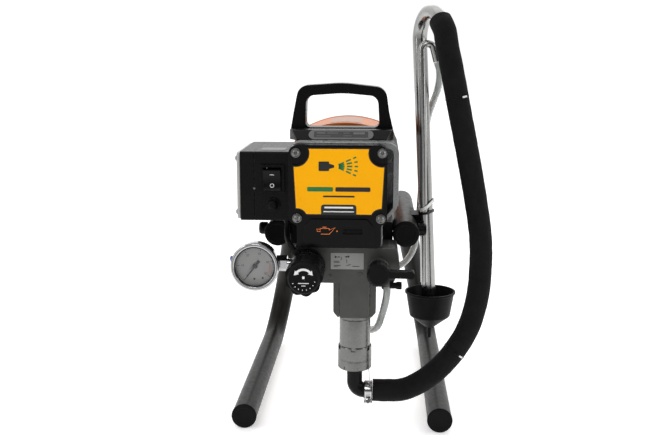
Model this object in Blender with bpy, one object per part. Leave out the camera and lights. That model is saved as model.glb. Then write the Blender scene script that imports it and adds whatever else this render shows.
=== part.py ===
"""Airless paint sprayer on a two-tube skid frame.

Metres, +Z up. The spray side faces -Y, the motor is at +Y and +X is to the right of someone facing
the gauge. Positions below are from the machine's centre plane, the front of its feet and the floor;
the root empty then moves everything so that the origin is under the middle of the machine.
"""

from math import acos, asin, atan2, cos, hypot, pi, radians, sin, sqrt, tan

import bmesh
import bpy
from mathutils import Vector
from mathutils.geometry import interpolate_bezier, tessellate_polygon

# ---- driving dimensions -------------------------------------------------------------------------
ROOT = (-0.0015, -0.1223, 0.0)   # moves the machine so that the origin is under its middle
GAP = 0.0003                    # between pieces that touch

TUBE_R, TUBE_WALL = 0.0145, 0.002
UPPER_X, UPPER_Z = 0.0725, 0.240            # axis of each upper tube
RUNNER_X, CAP_R = 0.116, 0.015              # axis of each runner, which the cap lifts off the floor
UPPER_CORNER_Y, RUNNER_CORNER_Y = 0.250, 0.400
BEND_R = 0.060
UPPER_FRONT_Y, RUNNER_FRONT_Y = -0.006, 0.003
CAP_FLANGE, PLUG_LENGTH = 0.003, 0.012

PUMP_X, PUMP_Y = 0.0165, -0.0355            # axis of the piston pump
CRANK_Z = 0.290
STROKE = 0.024
CONROD_LENGTH = 0.026
CRANK_GEAR_Y = (-0.0205, -0.0085)
CONROD_Y = (-0.0290, -0.0210)
FINE_GEAR_Y = (0.0060, 0.0140)
MOTOR_X, MOTOR_Z = 0.0, 0.305
COARSE_MODULE, FINE_MODULE = 0.0015, 0.0010
CRANK_TEETH, SMALL_TEETH, BIG_TEETH, PINION_TEETH = 39, 13, 42, 12
BACKLASH = 0.0003

HOUSING_Y = (-0.056, 0.082)
COVER_Y = (-0.077, -0.0563)
COVER_HALF, COVER_TOP, COVER_SHOULDER, COVER_BOTTOM = 0.053, 0.3465, 0.2655, 0.2375
SCREW_XZ = [(-0.0450, 0.3385), (0.0450, 0.3385), (-0.0440, 0.2695), (0.0440, 0.2695)]
PLATE_Y = (-0.006, 0.004)
MOTOR_Y = (0.0825, 0.205)

BOX_X, BOX_Y, BOX_Z = (-0.1086, -0.0545), (-0.045, 0.065), (0.2608, 0.3363)
BOX_SEAM_X, SHEET = -0.0930, 0.0015
SWITCH_X, SWITCH_Z = -0.0732, 0.3070
BUTTON_X, BUTTON_Z = -0.0727, 0.2785
GLAND_X, GLAND_Z = -0.0740, 0.2850

MANIFOLD_Y, MANIFOLD_Z = (-0.060, -0.012), (0.1957, 0.2345)
MANIFOLD_X = (-0.050, 0.0630)
BLOCK_Z = 0.1560
KNOB_X, KNOB_Z = -0.0340, 0.2145
PRIME_X, PRIME_Z = 0.0423, 0.2132
GAUGE_X, GAUGE_Z, GAUGE_R = -0.0929, 0.2108, 0.0267
ELBOW_Z = 0.0655

SUCTION_R, RETURN_R = 0.0083, 0.0043
SUCTION_Y, RETURN_Y = 0.050, 0.0362
CUP_X, CUP_Y, CUP_R, CUP_Z = 0.1040, 0.0450, 0.0300, 0.1610
HOSE_R, DRAIN_R, CABLE_R = 0.0127, 0.0040, 0.0030

COLOURS = {
    "frame_paint": ((0.055, 0.052, 0.045), 0.45, 0.3),
    "black_plastic": ((0.016, 0.016, 0.017), 0.35, 0.0),
    "cast_silver": ((0.52, 0.53, 0.53), 0.45, 0.4),
    "panel_yellow": ((1.0, 0.46, 0.0), 0.35, 0.0),
    "shell_orange": ((0.83, 0.22, 0.06), 0.35, 0.0),
    "box_paint": ((0.020, 0.020, 0.021), 0.6, 0.2),
    "manifold_paint": ((0.16, 0.16, 0.155), 0.5, 0.4),
    "steel": ((0.55, 0.55, 0.54), 0.3, 1.0),
    "chrome": ((0.80, 0.80, 0.80), 0.08, 1.0),
    "plate_grey": ((0.60, 0.60, 0.60), 0.4, 0.5),
    "clear": ((0.92, 0.94, 0.93), 0.1, 0.0),
    "foam": ((0.018, 0.018, 0.018), 0.9, 0.0),
    "copper": ((0.72, 0.30, 0.14), 0.3, 1.0),
    "packing": ((0.82, 0.80, 0.74), 0.6, 0.0),
}


# ---- outlines -----------------------------------------------------------------------------------
def rounded(corners, steps=3):
    """A closed outline from (u, v, radius) corners, each turned into an arc of its radius."""
    outline = []
    for i, (u, v, radius) in enumerate(corners):
        here = Vector((u, v))
        if radius == 0:
            outline.append((u, v))
            continue
        before = (Vector(corners[i - 1][:2]) - here).normalized()
        after = (Vector(corners[(i + 1) % len(corners)][:2]) - here).normalized()
        half = acos(max(-1, min(1, before.dot(after)))) / 2
        centre = here + (before + after).normalized() * radius / sin(half)
        start = here + before * radius / tan(half) - centre
        end = here + after * radius / tan(half) - centre
        first = atan2(start.y, start.x)
        turn = (atan2(end.y, end.x) - first + pi) % (2 * pi) - pi
        for k in range(steps + 1):
            angle = first + turn * k / steps
            outline.append((centre.x + radius * cos(angle), centre.y + radius * sin(angle)))
    return outline


def rectangle(u0, u1, v0, v1, radius=0.0, steps=3):
    return rounded([(u0, v0, radius), (u1, v0, radius), (u1, v1, radius), (u0, v1, radius)], steps)


def circle(u, v, radius, count=24, first=0.0):
    return [
        (u + radius * cos(first + 2 * pi * k / count), v + radius * sin(first + 2 * pi * k / count))
        for k in range(count)
    ]


def gear_outline(u, v, module, teeth, turned):
    """Involute teeth, thinned by the backlash; `turned` is the angle of one tooth's middle."""
    pitch = module * teeth / 2
    base, tip, root = pitch * cos(radians(20)), pitch + 0.9 * module, pitch - 1.2 * module
    half_pitch = (pi * module / 2 - BACKLASH) / 2 / pitch
    roll = sqrt((pitch / base) ** 2 - 1)
    at_pitch = roll - atan2(roll, 1)

    def half_width(radius):
        if radius <= base:
            return half_pitch + at_pitch
        t = sqrt((radius / base) ** 2 - 1)
        return half_pitch + at_pitch - (t - atan2(t, 1))

    radii = [root, (max(base, root) + pitch) / 2, tip]
    flank = [(r, half_width(r)) for r in radii]
    outline = []
    for k in range(teeth):
        middle = turned + 2 * pi * k / teeth
        for r, w in flank:
            outline.append((u + r * cos(middle - w), v + r * sin(middle - w)))
        for r, w in reversed(flank):
            outline.append((u + r * cos(middle + w), v + r * sin(middle + w)))
    return outline


def fillet_path(corners, radius, steps=5):
    """Points along straight runs joined by arcs of one radius."""
    points = [Vector(corners[0])]
    for a, b, c in zip(corners, corners[1:], corners[2:]):
        b = Vector(b)
        back, on = (Vector(a) - b).normalized(), (Vector(c) - b).normalized()
        half = acos(back.dot(on)) / 2
        centre = b + (back + on).normalized() * radius / sin(half)
        first, last = b + back * radius / tan(half) - centre, b + on * radius / tan(half) - centre
        sweep_angle = pi - 2 * half
        for k in range(steps + 1):
            angle = sweep_angle * k / steps
            along = (first * sin(sweep_angle - angle) + last * sin(angle)) / sin(sweep_angle)
            points.append(centre + along)
    return points + [Vector(corners[-1])]


def smooth_path(points, count):
    """Evenly spaced points on a smooth curve through the given ones."""
    points = [Vector(p) for p in points]
    padded = [2 * points[0] - points[1], *points, 2 * points[-1] - points[-2]]
    dense = []
    for a, b, c, d in zip(padded, padded[1:], padded[2:], padded[3:]):
        dense += interpolate_bezier(b, b + (c - a) / 6, c - (d - b) / 6, c, 24)[:-1]
    dense.append(points[-1])
    along = [0.0]
    for a, b in zip(dense, dense[1:]):
        along.append(along[-1] + (b - a).length)
    spaced, i = [], 0
    for k in range(count):
        want = along[-1] * k / (count - 1)
        while i < len(dense) - 2 and along[i + 1] < want:
            i += 1
        share = (want - along[i]) / max(along[i + 1] - along[i], 1e-9)
        spaced.append(dense[i].lerp(dense[i + 1], share))
    return spaced


# ---- solids -------------------------------------------------------------------------------------
TO_WORLD = {
    "Y": lambda u, v, w: Vector((u, w, v)),     # outline in X and Z, depth along Y
    "X": lambda u, v, w: Vector((w, u, v)),     # outline in Y and Z, depth along X
    "Z": lambda u, v, w: Vector((u, v, w)),     # outline in X and Y, depth along Z
}


def material(name):
    if name in bpy.data.materials:
        return bpy.data.materials[name]
    colour, roughness, metallic = COLOURS[name]
    made = bpy.data.materials.new(name)
    made.use_nodes = True
    shader = made.node_tree.nodes["Principled BSDF"]
    shader.inputs["Base Color"].default_value = (*colour, 1.0)
    shader.inputs["Roughness"].default_value = roughness
    shader.inputs["Metallic"].default_value = metallic
    return made


def add_object(name, build, look, origin=(0, 0, 0)):
    """A mesh object whose origin is at `origin`, hung from the root; no look makes it a helper."""
    for vert in build.verts:
        vert.co -= Vector(origin)
    bmesh.ops.recalc_face_normals(build, faces=build.faces)
    mesh = bpy.data.meshes.new(name)
    build.to_mesh(mesh)
    build.free()
    mesh.shade_smooth()
    mesh.set_sharp_from_angle(angle=radians(35))
    made = bpy.data.objects.new(name, mesh)
    bpy.context.scene.collection.objects.link(made)
    made.parent = bpy.data.objects["sprayer_root"]
    made.location = origin
    if look:
        mesh.materials.append(material(look))
    else:
        made.hide_render = True
        made.display_type = "WIRE"
    return made


def tray_mesh(axis, outer, face, rim, inner=None, floor=0.0, holes=()):
    """A plate, or an open tray: `face` is its closed side, `floor` the tray's inside, `rim` its edge."""
    build, place = bmesh.new(), TO_WORLD[axis]

    def loop(outline, w):
        return [build.verts.new(place(u, v, w)) for u, v in outline]

    def wall(one, other):
        for i in range(len(one)):
            j = (i + 1) % len(one)
            build.faces.new((one[i], one[j], other[j], other[i]))

    def cap(loops):
        verts = [v for each in loops for v in each]
        flat = [[Vector((*OUTLINE_OF[axis](v.co), 0)) for v in each] for each in loops]
        for triangle in tessellate_polygon(flat):
            build.faces.new([verts[k] for k in triangle])

    outer_face, outer_rim = loop(outer, face), loop(outer, rim)
    wall(outer_face, outer_rim)
    if inner is None:
        face_holes, rim_side = [loop(h, face) for h in holes], [loop(h, rim) for h in holes]
        cap([outer_face, *face_holes])
        cap([outer_rim, *rim_side])
    else:
        inner_rim, inner_floor = loop(inner, rim), loop(inner, floor)
        face_holes, rim_side = [loop(h, face) for h in holes], [loop(h, floor) for h in holes]
        wall(inner_rim, inner_floor)
        cap([outer_face, *face_holes])
        cap([outer_rim, inner_rim])
        cap([inner_floor, *rim_side])
    for one, other in zip(face_holes, rim_side):
        wall(one, other)
    return build


OUTLINE_OF = {
    "Y": lambda co: (co.x, co.z),
    "X": lambda co: (co.y, co.z),
    "Z": lambda co: (co.x, co.y),
}


def plate(name, axis, outline, span, look, holes=(), origin=(0, 0, 0)):
    return add_object(name, tray_mesh(axis, outline, *span, holes=holes), look, origin)


def tray(name, axis, outer, inner, levels, look, holes=()):
    face, floor, rim = levels
    return add_object(name, tray_mesh(axis, outer, face, rim, inner, floor, holes), look)


def lathe(name, profile, centre, axis, look, origin=None, count=16):
    """A turned solid: `profile` is a closed list of (radius, place along the axis)."""
    build = bmesh.new()
    u, v, w = {"X": (1, 2, 0), "Y": (0, 2, 1), "Z": (0, 1, 2)}[axis]
    centre = Vector(centre)

    def point(radius, along, angle):
        made = centre.copy()
        made[u] += radius * cos(angle)
        made[v] += radius * sin(angle)
        made[w] += along
        return build.verts.new(made)

    rings = []
    for radius, along in profile:
        if radius == 0:
            rings.append([point(0, along, 0)])
        else:
            rings.append([point(radius, along, 2 * pi * k / count) for k in range(count)])
    for one, other in zip(rings, rings[1:] + rings[:1]):
        if len(one) == 1 and len(other) == 1:
            continue
        for k in range(count):
            n = (k + 1) % count
            corners = [one[k % len(one)], one[n % len(one)], other[n % len(other)], other[k % len(other)]]
            build.faces.new(dict.fromkeys(corners))
    return add_object(name, build, look, centre if origin is None else origin)


def ring_profile(inner, outer, low, high):
    return [(inner, low), (outer, low), (outer, high), (inner, high)]


def disc_profile(radius, low, high):
    return ring_profile(0, radius, low, high)


def sweep(name, points, radius, look, bore=0.0, count=12):
    """A round bar or pipe along a path, with its ends open or capped."""
    build = bmesh.new()
    tangents = [
        (points[min(i + 1, len(points) - 1)] - points[max(i - 1, 0)]).normalized()
        for i in range(len(points))
    ]
    side = tangents[0].orthogonal().normalized()
    skins = [[], []]
    for point, tangent in zip(points, tangents):
        side = (side - tangent * side.dot(tangent)).normalized()
        up = tangent.cross(side)
        for skin, r in zip(skins, (radius, bore)):
            if r > 0:
                angles = [2 * pi * k / count for k in range(count)]
                skin.append([build.verts.new(point + (side * cos(a) + up * sin(a)) * r) for a in angles])
    outer, inner = skins
    for skin in skins:
        for one, other in zip(skin, skin[1:]):
            for k in range(count):
                n = (k + 1) % count
                build.faces.new((one[k], one[n], other[n], other[k]))
    for end in (0, -1):
        if not inner:
            build.faces.new(outer[end])
            continue
        for k in range(count):
            n = (k + 1) % count
            build.faces.new((outer[end][k], outer[end][n], inner[end][n], inner[end][k]))
    return add_object(name, build, look)


def cord(name, points, radius, look):
    """A hose or lead as a bevelled curve with filled ends."""
    curve = bpy.data.curves.new(name, "CURVE")
    curve.dimensions = "3D"
    curve.bevel_depth = radius
    curve.bevel_resolution = 2
    curve.use_fill_caps = True
    spline = curve.splines.new("POLY")
    spline.points.add(len(points) - 1)
    for target, point in zip(spline.points, points):
        target.co = (*point, 1.0)
    curve.materials.append(material(look))
    made = bpy.data.objects.new(name, curve)
    bpy.context.scene.collection.objects.link(made)
    made.parent = bpy.data.objects["sprayer_root"]
    return made


def combine(target, tool, operation):
    step = target.modifiers.new(tool.name, "BOOLEAN")
    step.operation = operation
    step.solver = "EXACT"
    step.object = tool


def cut(target, tool):
    combine(target, tool, "DIFFERENCE")


def join(target, tool):
    combine(target, tool, "UNION")


def soften(target, width, segments=1, angle=40):
    step = target.modifiers.new("soft_edges", "BEVEL")
    step.width = width
    step.segments = segments
    step.limit_method = "ANGLE"
    step.angle_limit = radians(angle)
    step.harden_normals = False


# ---- the skid frame -----------------------------------------------------------------------------
def add_frame(side, sign):
    corners = [
        (sign * UPPER_X, UPPER_FRONT_Y, UPPER_Z),
        (sign * UPPER_X, UPPER_CORNER_Y, UPPER_Z),
        (sign * RUNNER_X, RUNNER_CORNER_Y, CAP_R),
        (sign * RUNNER_X, RUNNER_FRONT_Y, CAP_R),
    ]
    bore = TUBE_R - TUBE_WALL
    sweep(f"frame_tube_{side}", fillet_path(corners, BEND_R), TUBE_R, "frame_paint", bore)
    plug = bore - 0.0010
    for place, (x, y, z) in (("top", corners[0]), ("foot", corners[-1])):
        profile = [
            (0, -CAP_FLANGE), (CAP_R - 0.0012, -CAP_FLANGE), (CAP_R, -CAP_FLANGE + 0.0012),
            (CAP_R, -GAP), (plug, -GAP), (plug, PLUG_LENGTH), (0, PLUG_LENGTH),
        ]
        lathe(f"{place}_cap_{side}", profile, (x, y, z), "Y", "black_plastic")
    inner = {1: 0.0463, -1: 0.0443}[sign]
    near, far = sorted((sign * inner, sign * (UPPER_X - TUBE_R - GAP)))
    bracket = rectangle(near, far, 0.2268, 0.2530, 0.002)
    plate(f"bracket_{side}", "Y", bracket, (-0.005, 0.062), "black_plastic")
    outside = sign * (UPPER_X + TUBE_R + GAP)
    head = [
        (0, 0), (0.0072, 0), (0.0072, sign * 0.0070), (0.0058, sign * 0.0095), (0, sign * 0.0095),
    ]
    lathe(f"frame_bolt_{side}", head, (outside, 0.020, UPPER_Z), "X", "black_plastic", count=16)


# ---- gear train, crank and motor ----------------------------------------------------------------
def middle_axis():
    """Where the middle shaft stands to mesh with both the crank gear and the motor pinion."""
    far = COARSE_MODULE * (CRANK_TEETH + SMALL_TEETH) / 2
    near = FINE_MODULE * (BIG_TEETH + PINION_TEETH) / 2
    along_x, along_z = MOTOR_X - PUMP_X, MOTOR_Z - CRANK_Z
    apart = hypot(along_x, along_z)
    a = (far**2 - near**2 + apart**2) / (2 * apart)
    h = sqrt(far**2 - a**2)
    ux, uz = along_x / apart, along_z / apart
    return PUMP_X + a * ux - h * uz, CRANK_Z + a * uz + h * ux


def add_gear_train():
    mid_x, mid_z = middle_axis()
    to_small = atan2(mid_z - CRANK_Z, mid_x - PUMP_X)
    to_motor = atan2(MOTOR_Z - mid_z, MOTOR_X - mid_x)
    crank_origin = (PUMP_X, sum(CRANK_GEAR_Y) / 2, CRANK_Z)
    crank = plate(
        "crank_gear", "Y",
        gear_outline(PUMP_X, CRANK_Z, COARSE_MODULE, CRANK_TEETH, to_small),
        CRANK_GEAR_Y, "steel", origin=crank_origin,
    )
    overlap = 0.001
    shaft = lathe(
        "crank_shaft_helper", disc_profile(0.0070, CRANK_GEAR_Y[1] - overlap, PLATE_Y[1] + overlap),
        (PUMP_X, 0, CRANK_Z), "Y", None, count=24,
    )
    pin_z = CRANK_Z - STROKE / 2
    pin = lathe(
        "crank_pin_helper", disc_profile(0.0050, CONROD_Y[0] + 0.0005, CRANK_GEAR_Y[0] + overlap),
        (PUMP_X, 0, pin_z), "Y", None, count=20,
    )
    join(crank, shaft)
    join(crank, pin)

    small_tooth = to_small + pi + pi / SMALL_TEETH
    big_tooth = to_motor + pi / BIG_TEETH
    middle_origin = (mid_x, 0.0, mid_z)
    middle = plate(
        "middle_gear", "Y",
        gear_outline(mid_x, mid_z, FINE_MODULE, BIG_TEETH, big_tooth),
        FINE_GEAR_Y, "steel", origin=middle_origin,
    )
    small = plate(
        "small_gear_helper", "Y",
        gear_outline(mid_x, mid_z, COARSE_MODULE, SMALL_TEETH, small_tooth),
        (CRANK_GEAR_Y[0] - 0.0005, CRANK_GEAR_Y[1] + 0.0005), None,
    )
    middle_shaft = lathe(
        "middle_shaft_helper", disc_profile(0.0035, -0.0225, 0.020), (mid_x, 0, mid_z), "Y", None, count=16
    )
    join(middle, middle_shaft)
    join(middle, small)

    pinion_span = (FINE_GEAR_Y[0] - 0.001, FINE_GEAR_Y[1] + 0.001)
    armature_profile = [
        (0, pinion_span[1] - 0.001), (0.0040, pinion_span[1] - 0.001), (0.0040, 0.089), (0.046, 0.089),
        (0.046, 0.098), (0.0040, 0.098), (0.0040, 0.107), (0.0300, 0.107), (0.0300, 0.163),
        (0.0040, 0.163), (0.0040, 0.170), (0.0120, 0.170), (0.0120, 0.188), (0.0040, 0.188),
        (0.0040, 0.2125), (0, 0.2125),
    ]
    motor_axis = (MOTOR_X, 0.0, MOTOR_Z)
    armature = lathe("armature", armature_profile, motor_axis, "Y", "copper", count=18)
    pinion = plate(
        "pinion_helper", "Y",
        gear_outline(MOTOR_X, MOTOR_Z, FINE_MODULE, PINION_TEETH, to_motor + pi),
        pinion_span, None,
    )
    join(armature, pinion)

    rear_wall = (HOUSING_Y[1] - 0.0045, HOUSING_Y[1])
    bearing = ring_profile(0.0043, 0.0110, *rear_wall)
    lathe("armature_bearing_front", bearing, motor_axis, "Y", "steel", count=18)
    lathe(
        "crank_bearing", ring_profile(0.0073, 0.0125, PLATE_Y[0] + 0.0005, PLATE_Y[1] - 0.0005),
        (PUMP_X, 0, CRANK_Z), "Y", "steel", count=24,
    )


def add_motor():
    outer, wall = motor_outline(0.0), 0.0025
    shaft_hole = circle(MOTOR_X, MOTOR_Z, 0.0300, 24)
    levels = (MOTOR_Y[0], MOTOR_Y[0] + wall, MOTOR_Y[1])
    tray("motor_shell", "Y", outer, motor_outline(wall), levels, "shell_orange", [shaft_hole])
    stator = ring_profile(0.0310, 0.0490, 0.105, 0.165)
    lathe("stator", stator, (MOTOR_X, 0, MOTOR_Z), "Y", "steel", count=20)
    pocket = circle(MOTOR_X, MOTOR_Z, 0.0044, 20)
    back = MOTOR_Y[1] + GAP
    levels = (back + 0.0130, back + 0.0085, back)
    tray("motor_end_cover", "Y", outer, pocket, levels, "black_plastic")


def motor_outline(inset):
    """Rounded below, with a shallow crown on top."""
    half, low, rise = 0.0620 - inset, 0.2450 + inset, radians(23)
    tip = 0.3674 - inset / cos(rise)
    shoulder = tip - half * tan(rise)
    return rounded([
        (-half, low, 0.0450 - inset), (half, low, 0.0450 - inset), (half, shoulder, 0.0200 - inset),
        (0.0, tip, 0.1150 - inset), (-half, shoulder, 0.0200 - inset),
    ], 6)


def add_connecting_rod():
    pin_z = CRANK_Z - STROKE / 2
    foot_z = pin_z - CONROD_LENGTH
    origin = (PUMP_X, sum(CONROD_Y) / 2, pin_z)
    big, small = 0.0095, 0.0070
    lean = asin((big - small) / CONROD_LENGTH)
    outline = [
        (PUMP_X + big * cos(a), pin_z + big * sin(a))
        for a in (-lean + (pi + 2 * lean) * k / 12 for k in range(13))
    ]
    outline += [
        (PUMP_X + small * cos(a), foot_z + small * sin(a))
        for a in (pi + lean + (pi - 2 * lean) * k / 10 for k in range(11))
    ]
    holes = [circle(PUMP_X, pin_z, 0.0053, 20), circle(PUMP_X, foot_z, 0.0032, 16)]
    plate("connecting_rod", "Y", outline, CONROD_Y, "steel", holes, origin)


# ---- drive housing, cover and handle ------------------------------------------------------------
def housing_outline(inset):
    left, right, top, bottom = -0.0535 + inset, 0.0610 - inset, 0.3455 - inset, 0.2362 + inset
    foot_left, foot_right = -0.0440 + inset, 0.0460 - inset
    corner = 0.010 - inset
    return rounded([
        (foot_left, bottom, 0.003), (foot_right, bottom, 0.003), (foot_right, 0.2590, 0.004),
        (right, 0.2780, 0.006), (right, top, corner), (left, top, corner),
        (left, 0.2780, 0.006), (foot_left, 0.2590, 0.004),
    ])


def add_housing():
    bearing_hole = circle(MOTOR_X, MOTOR_Z, 0.0114, 18)
    levels = (HOUSING_Y[1], HOUSING_Y[1] - 0.0045, HOUSING_Y[0])
    outer, inner = housing_outline(0), housing_outline(0.004)
    housing = tray("drive_housing", "Y", outer, inner, levels, "cast_silver", [bearing_hole])
    rod_hole = lathe(
        "rod_hole_cutter", disc_profile(0.0138, 0.225, 0.2425), (PUMP_X, PUMP_Y, 0), "Z", None, count=24
    )
    cut(housing, rod_hole)
    mid_x, mid_z = middle_axis()
    bores = [circle(PUMP_X, CRANK_Z, 0.0130, 18), circle(mid_x, mid_z, 0.0038, 16)]
    web = plate("bearing_web_helper", "Y", housing_outline(0.002), PLATE_Y, None, bores)
    join(housing, web)


def cover_outline(inset):
    """The cover's outline, a little narrower on its right."""
    half, low_half, corner = COVER_HALF - inset, 0.0445 - inset, 0.0090 - inset
    right = half - 0.0025
    return rounded([
        (-low_half, COVER_BOTTOM + inset, 0.005), (low_half, COVER_BOTTOM + inset, 0.005),
        (low_half, COVER_SHOULDER - 0.004 + inset, 0.003), (right, COVER_SHOULDER + inset, 0.006),
        (right, COVER_TOP - inset, corner), (-half, COVER_TOP - inset, corner),
        (-half, COVER_SHOULDER + inset, 0.006), (-low_half, COVER_SHOULDER - 0.004 + inset, 0.003),
    ])


def panel_outline():
    """The face panel, whose corners curve in around the four screws."""
    low, high, top_half, low_half = 0.2745, 0.3430, 0.0470, 0.0447
    top_scoop, low_scoop = 0.0145, 0.0112
    right = []
    for (x, z), edge_x, edge_z, scoop in (
        (SCREW_XZ[3], low_half, low, low_scoop), (SCREW_XZ[1], top_half, high, top_scoop),
    ):
        on_edge = atan2(edge_z - z, -sqrt(scoop**2 - (edge_z - z) ** 2))
        side_z = sqrt(scoop**2 - (edge_x - x) ** 2) * (1 if edge_z > z and scoop == low_scoop else -1)
        on_side = atan2(side_z, edge_x - x)
        turn = (on_side - on_edge + pi) % (2 * pi) - pi
        arc = [on_edge + turn * k / 7 for k in range(8)]
        points = [(x + scoop * cos(a), z + scoop * sin(a)) for a in arc]
        right += points if edge_z == low else points[::-1]
    return right + [(-x, z) for x, z in reversed(right)]


def add_cover():
    levels = (COVER_Y[0], COVER_Y[0] + 0.003, COVER_Y[1])
    holes = [circle(x, z, 0.0023, 12) for x, z in SCREW_XZ]
    holes.append(rectangle(0.0040, 0.0255, 0.2530, 0.2610, 0.0015, 2))
    outer, inner = cover_outline(0), cover_outline(0.003)
    tray("front_cover", "Y", outer, inner, levels, "black_plastic", holes)
    panel_y = (COVER_Y[0] - GAP - 0.0008, COVER_Y[0] - GAP)
    plate("face_panel", "Y", panel_outline(), panel_y, "panel_yellow")
    head_y = COVER_Y[0] - GAP
    profile = [
        (0, -0.0026), (0.0022, -0.0025), (0.0034, -0.0018), (0.0038, 0), (0.0020, 0), (0.0020, 0.012),
        (0, 0.012),
    ]
    for number, (x, z) in enumerate(SCREW_XZ, 1):
        lathe(f"cover_screw_{number}", profile, (x, head_y, z), "Y", "steel")


def add_handle():
    outer = rounded([
        (-0.0605, 0.3480, 0.002), (0.0585, 0.3480, 0.002), (0.0525, 0.3740, 0.030), (0.0485, 0.4020, 0.014),
        (0.0, 0.4075, 0.120), (-0.0500, 0.4040, 0.013), (-0.0560, 0.3740, 0.030),
    ])
    window = rounded([
        (-0.0425, 0.3575, 0.006), (0.0415, 0.3575, 0.006), (0.0395, 0.3925, 0.010),
        (0.0, 0.3960, 0.120), (-0.0415, 0.3930, 0.010),
    ])
    handle = plate("carry_handle", "Y", outer, (0.0180, 0.0420), "black_plastic", [window])
    soften(handle, 0.003, 1, 50)
    side = rounded([
        (-0.018, 0.3458, 0.001), (0.066, 0.3458, 0.001), (0.060, 0.3555, 0.003), (-0.006, 0.3568, 0.004),
    ])
    saddle = plate("saddle_helper", "X", side, (-0.0585, 0.0570), None)
    join(handle, saddle)
    for name, sign in (("left", -1), ("right", 1)):
        corner = [(sign * 0.0420, -0.0300), (sign * 0.0620, -0.0300), (sign * 0.0620, 0.0060)]
        trim = plate(f"saddle_{name}_trim_cutter", "Z", corner, (0.3400, 0.3620), None)
        cut(handle, trim)


# ---- control box --------------------------------------------------------------------------------
def add_control_box():
    outline = rectangle(*BOX_Y, *BOX_Z, 0.002, 2)
    inside = rectangle(BOX_Y[0] + SHEET, BOX_Y[1] - SHEET, BOX_Z[0] + SHEET, BOX_Z[1] - SHEET, 0.001, 2)
    box = tray(
        "control_box", "X", outline, inside, (BOX_X[1], BOX_X[1] - SHEET, BOX_SEAM_X), "box_paint"
    )
    front = (BOX_Y[0] - 0.005, BOX_Y[0] + 0.005)
    switch_hole = plate(
        "switch_hole_cutter", "Y",
        rectangle(SWITCH_X - 0.0118, SWITCH_X + 0.0118, SWITCH_Z - 0.0138, SWITCH_Z + 0.0138, 0.001, 2),
        front, None,
    )
    button_hole = plate("button_hole_cutter", "Y", circle(BUTTON_X, BUTTON_Z, 0.0058, 20), front, None)
    back = (BOX_Y[1] - 0.005, BOX_Y[1] + 0.005)
    gland_hole = plate("gland_hole_cutter", "Y", circle(GLAND_X, GLAND_Z, 0.0068, 20), back, None)
    for tool in (switch_hole, button_hole, gland_hole):
        cut(box, tool)
    cover_levels = (BOX_X[0], BOX_X[0] + SHEET, BOX_SEAM_X - GAP)
    tray("box_cover", "X", outline, inside, cover_levels, "box_paint")
    end = rectangle(BOX_Y[0] + 0.003, BOX_Y[1] - 0.002, BOX_Z[0] + 0.001, BOX_Z[1] - 0.001, 0.003, 2)
    plate("box_end_plate", "X", end, (BOX_X[0] - 0.0040, BOX_X[0] - GAP), "plate_grey")
    gland = [
        (0.0035, 0.0140), (0.0060, 0.0140), (0.0085, 0.0100), (0.0085, GAP), (0.0064, GAP),
        (0.0064, -0.0080), (0.0035, -0.0080),
    ]
    lathe("mains_gland", gland, (GLAND_X, BOX_Y[1], GLAND_Z), "Y", "black_plastic", count=16)


def add_switch():
    def around(half_x, half_z, radius=0.0):
        return rectangle(
            SWITCH_X - half_x, SWITCH_X + half_x, SWITCH_Z - half_z, SWITCH_Z + half_z, radius, 2
        )

    lip, window, body = around(0.0134, 0.0152, 0.001), around(0.0099, 0.0125), around(0.0115, 0.0135)
    front = BOX_Y[0] - GAP
    bezel = plate("switch_bezel", "Y", lip, (front - 0.0030, front), "black_plastic", [window])
    sleeve = plate("switch_sleeve_helper", "Y", body, (front - 0.0010, front + 0.018), None, [window])
    join(bezel, sleeve)
    pivot = Vector((SWITCH_X, BOX_Y[0] + 0.0020, SWITCH_Z))
    half, tilt = 0.0113, radians(8)
    shape = [
        (-0.0100, -half), (-0.0070, 0.0), (-0.0100, half), (0.0010, half),
        (0.0060, 0.004), (0.0060, -0.004), (0.0010, -half),
    ]
    turned = [
        (pivot.y + y * cos(tilt) - z * sin(tilt), pivot.z + y * sin(tilt) + z * cos(tilt))
        for y, z in shape
    ]
    across = (SWITCH_X - 0.0095, SWITCH_X + 0.0095)
    plate("rocker", "X", turned, across, "black_plastic", origin=pivot)


def add_reset_button():
    button = [
        (0, -0.0065), (0.0044, -0.0062), (0.0054, -0.0050), (0.0054, 0.010), (0, 0.010),
    ]
    lathe("reset_button", button, (BUTTON_X, BOX_Y[0] - GAP, BUTTON_Z), "Y", "black_plastic")


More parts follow.
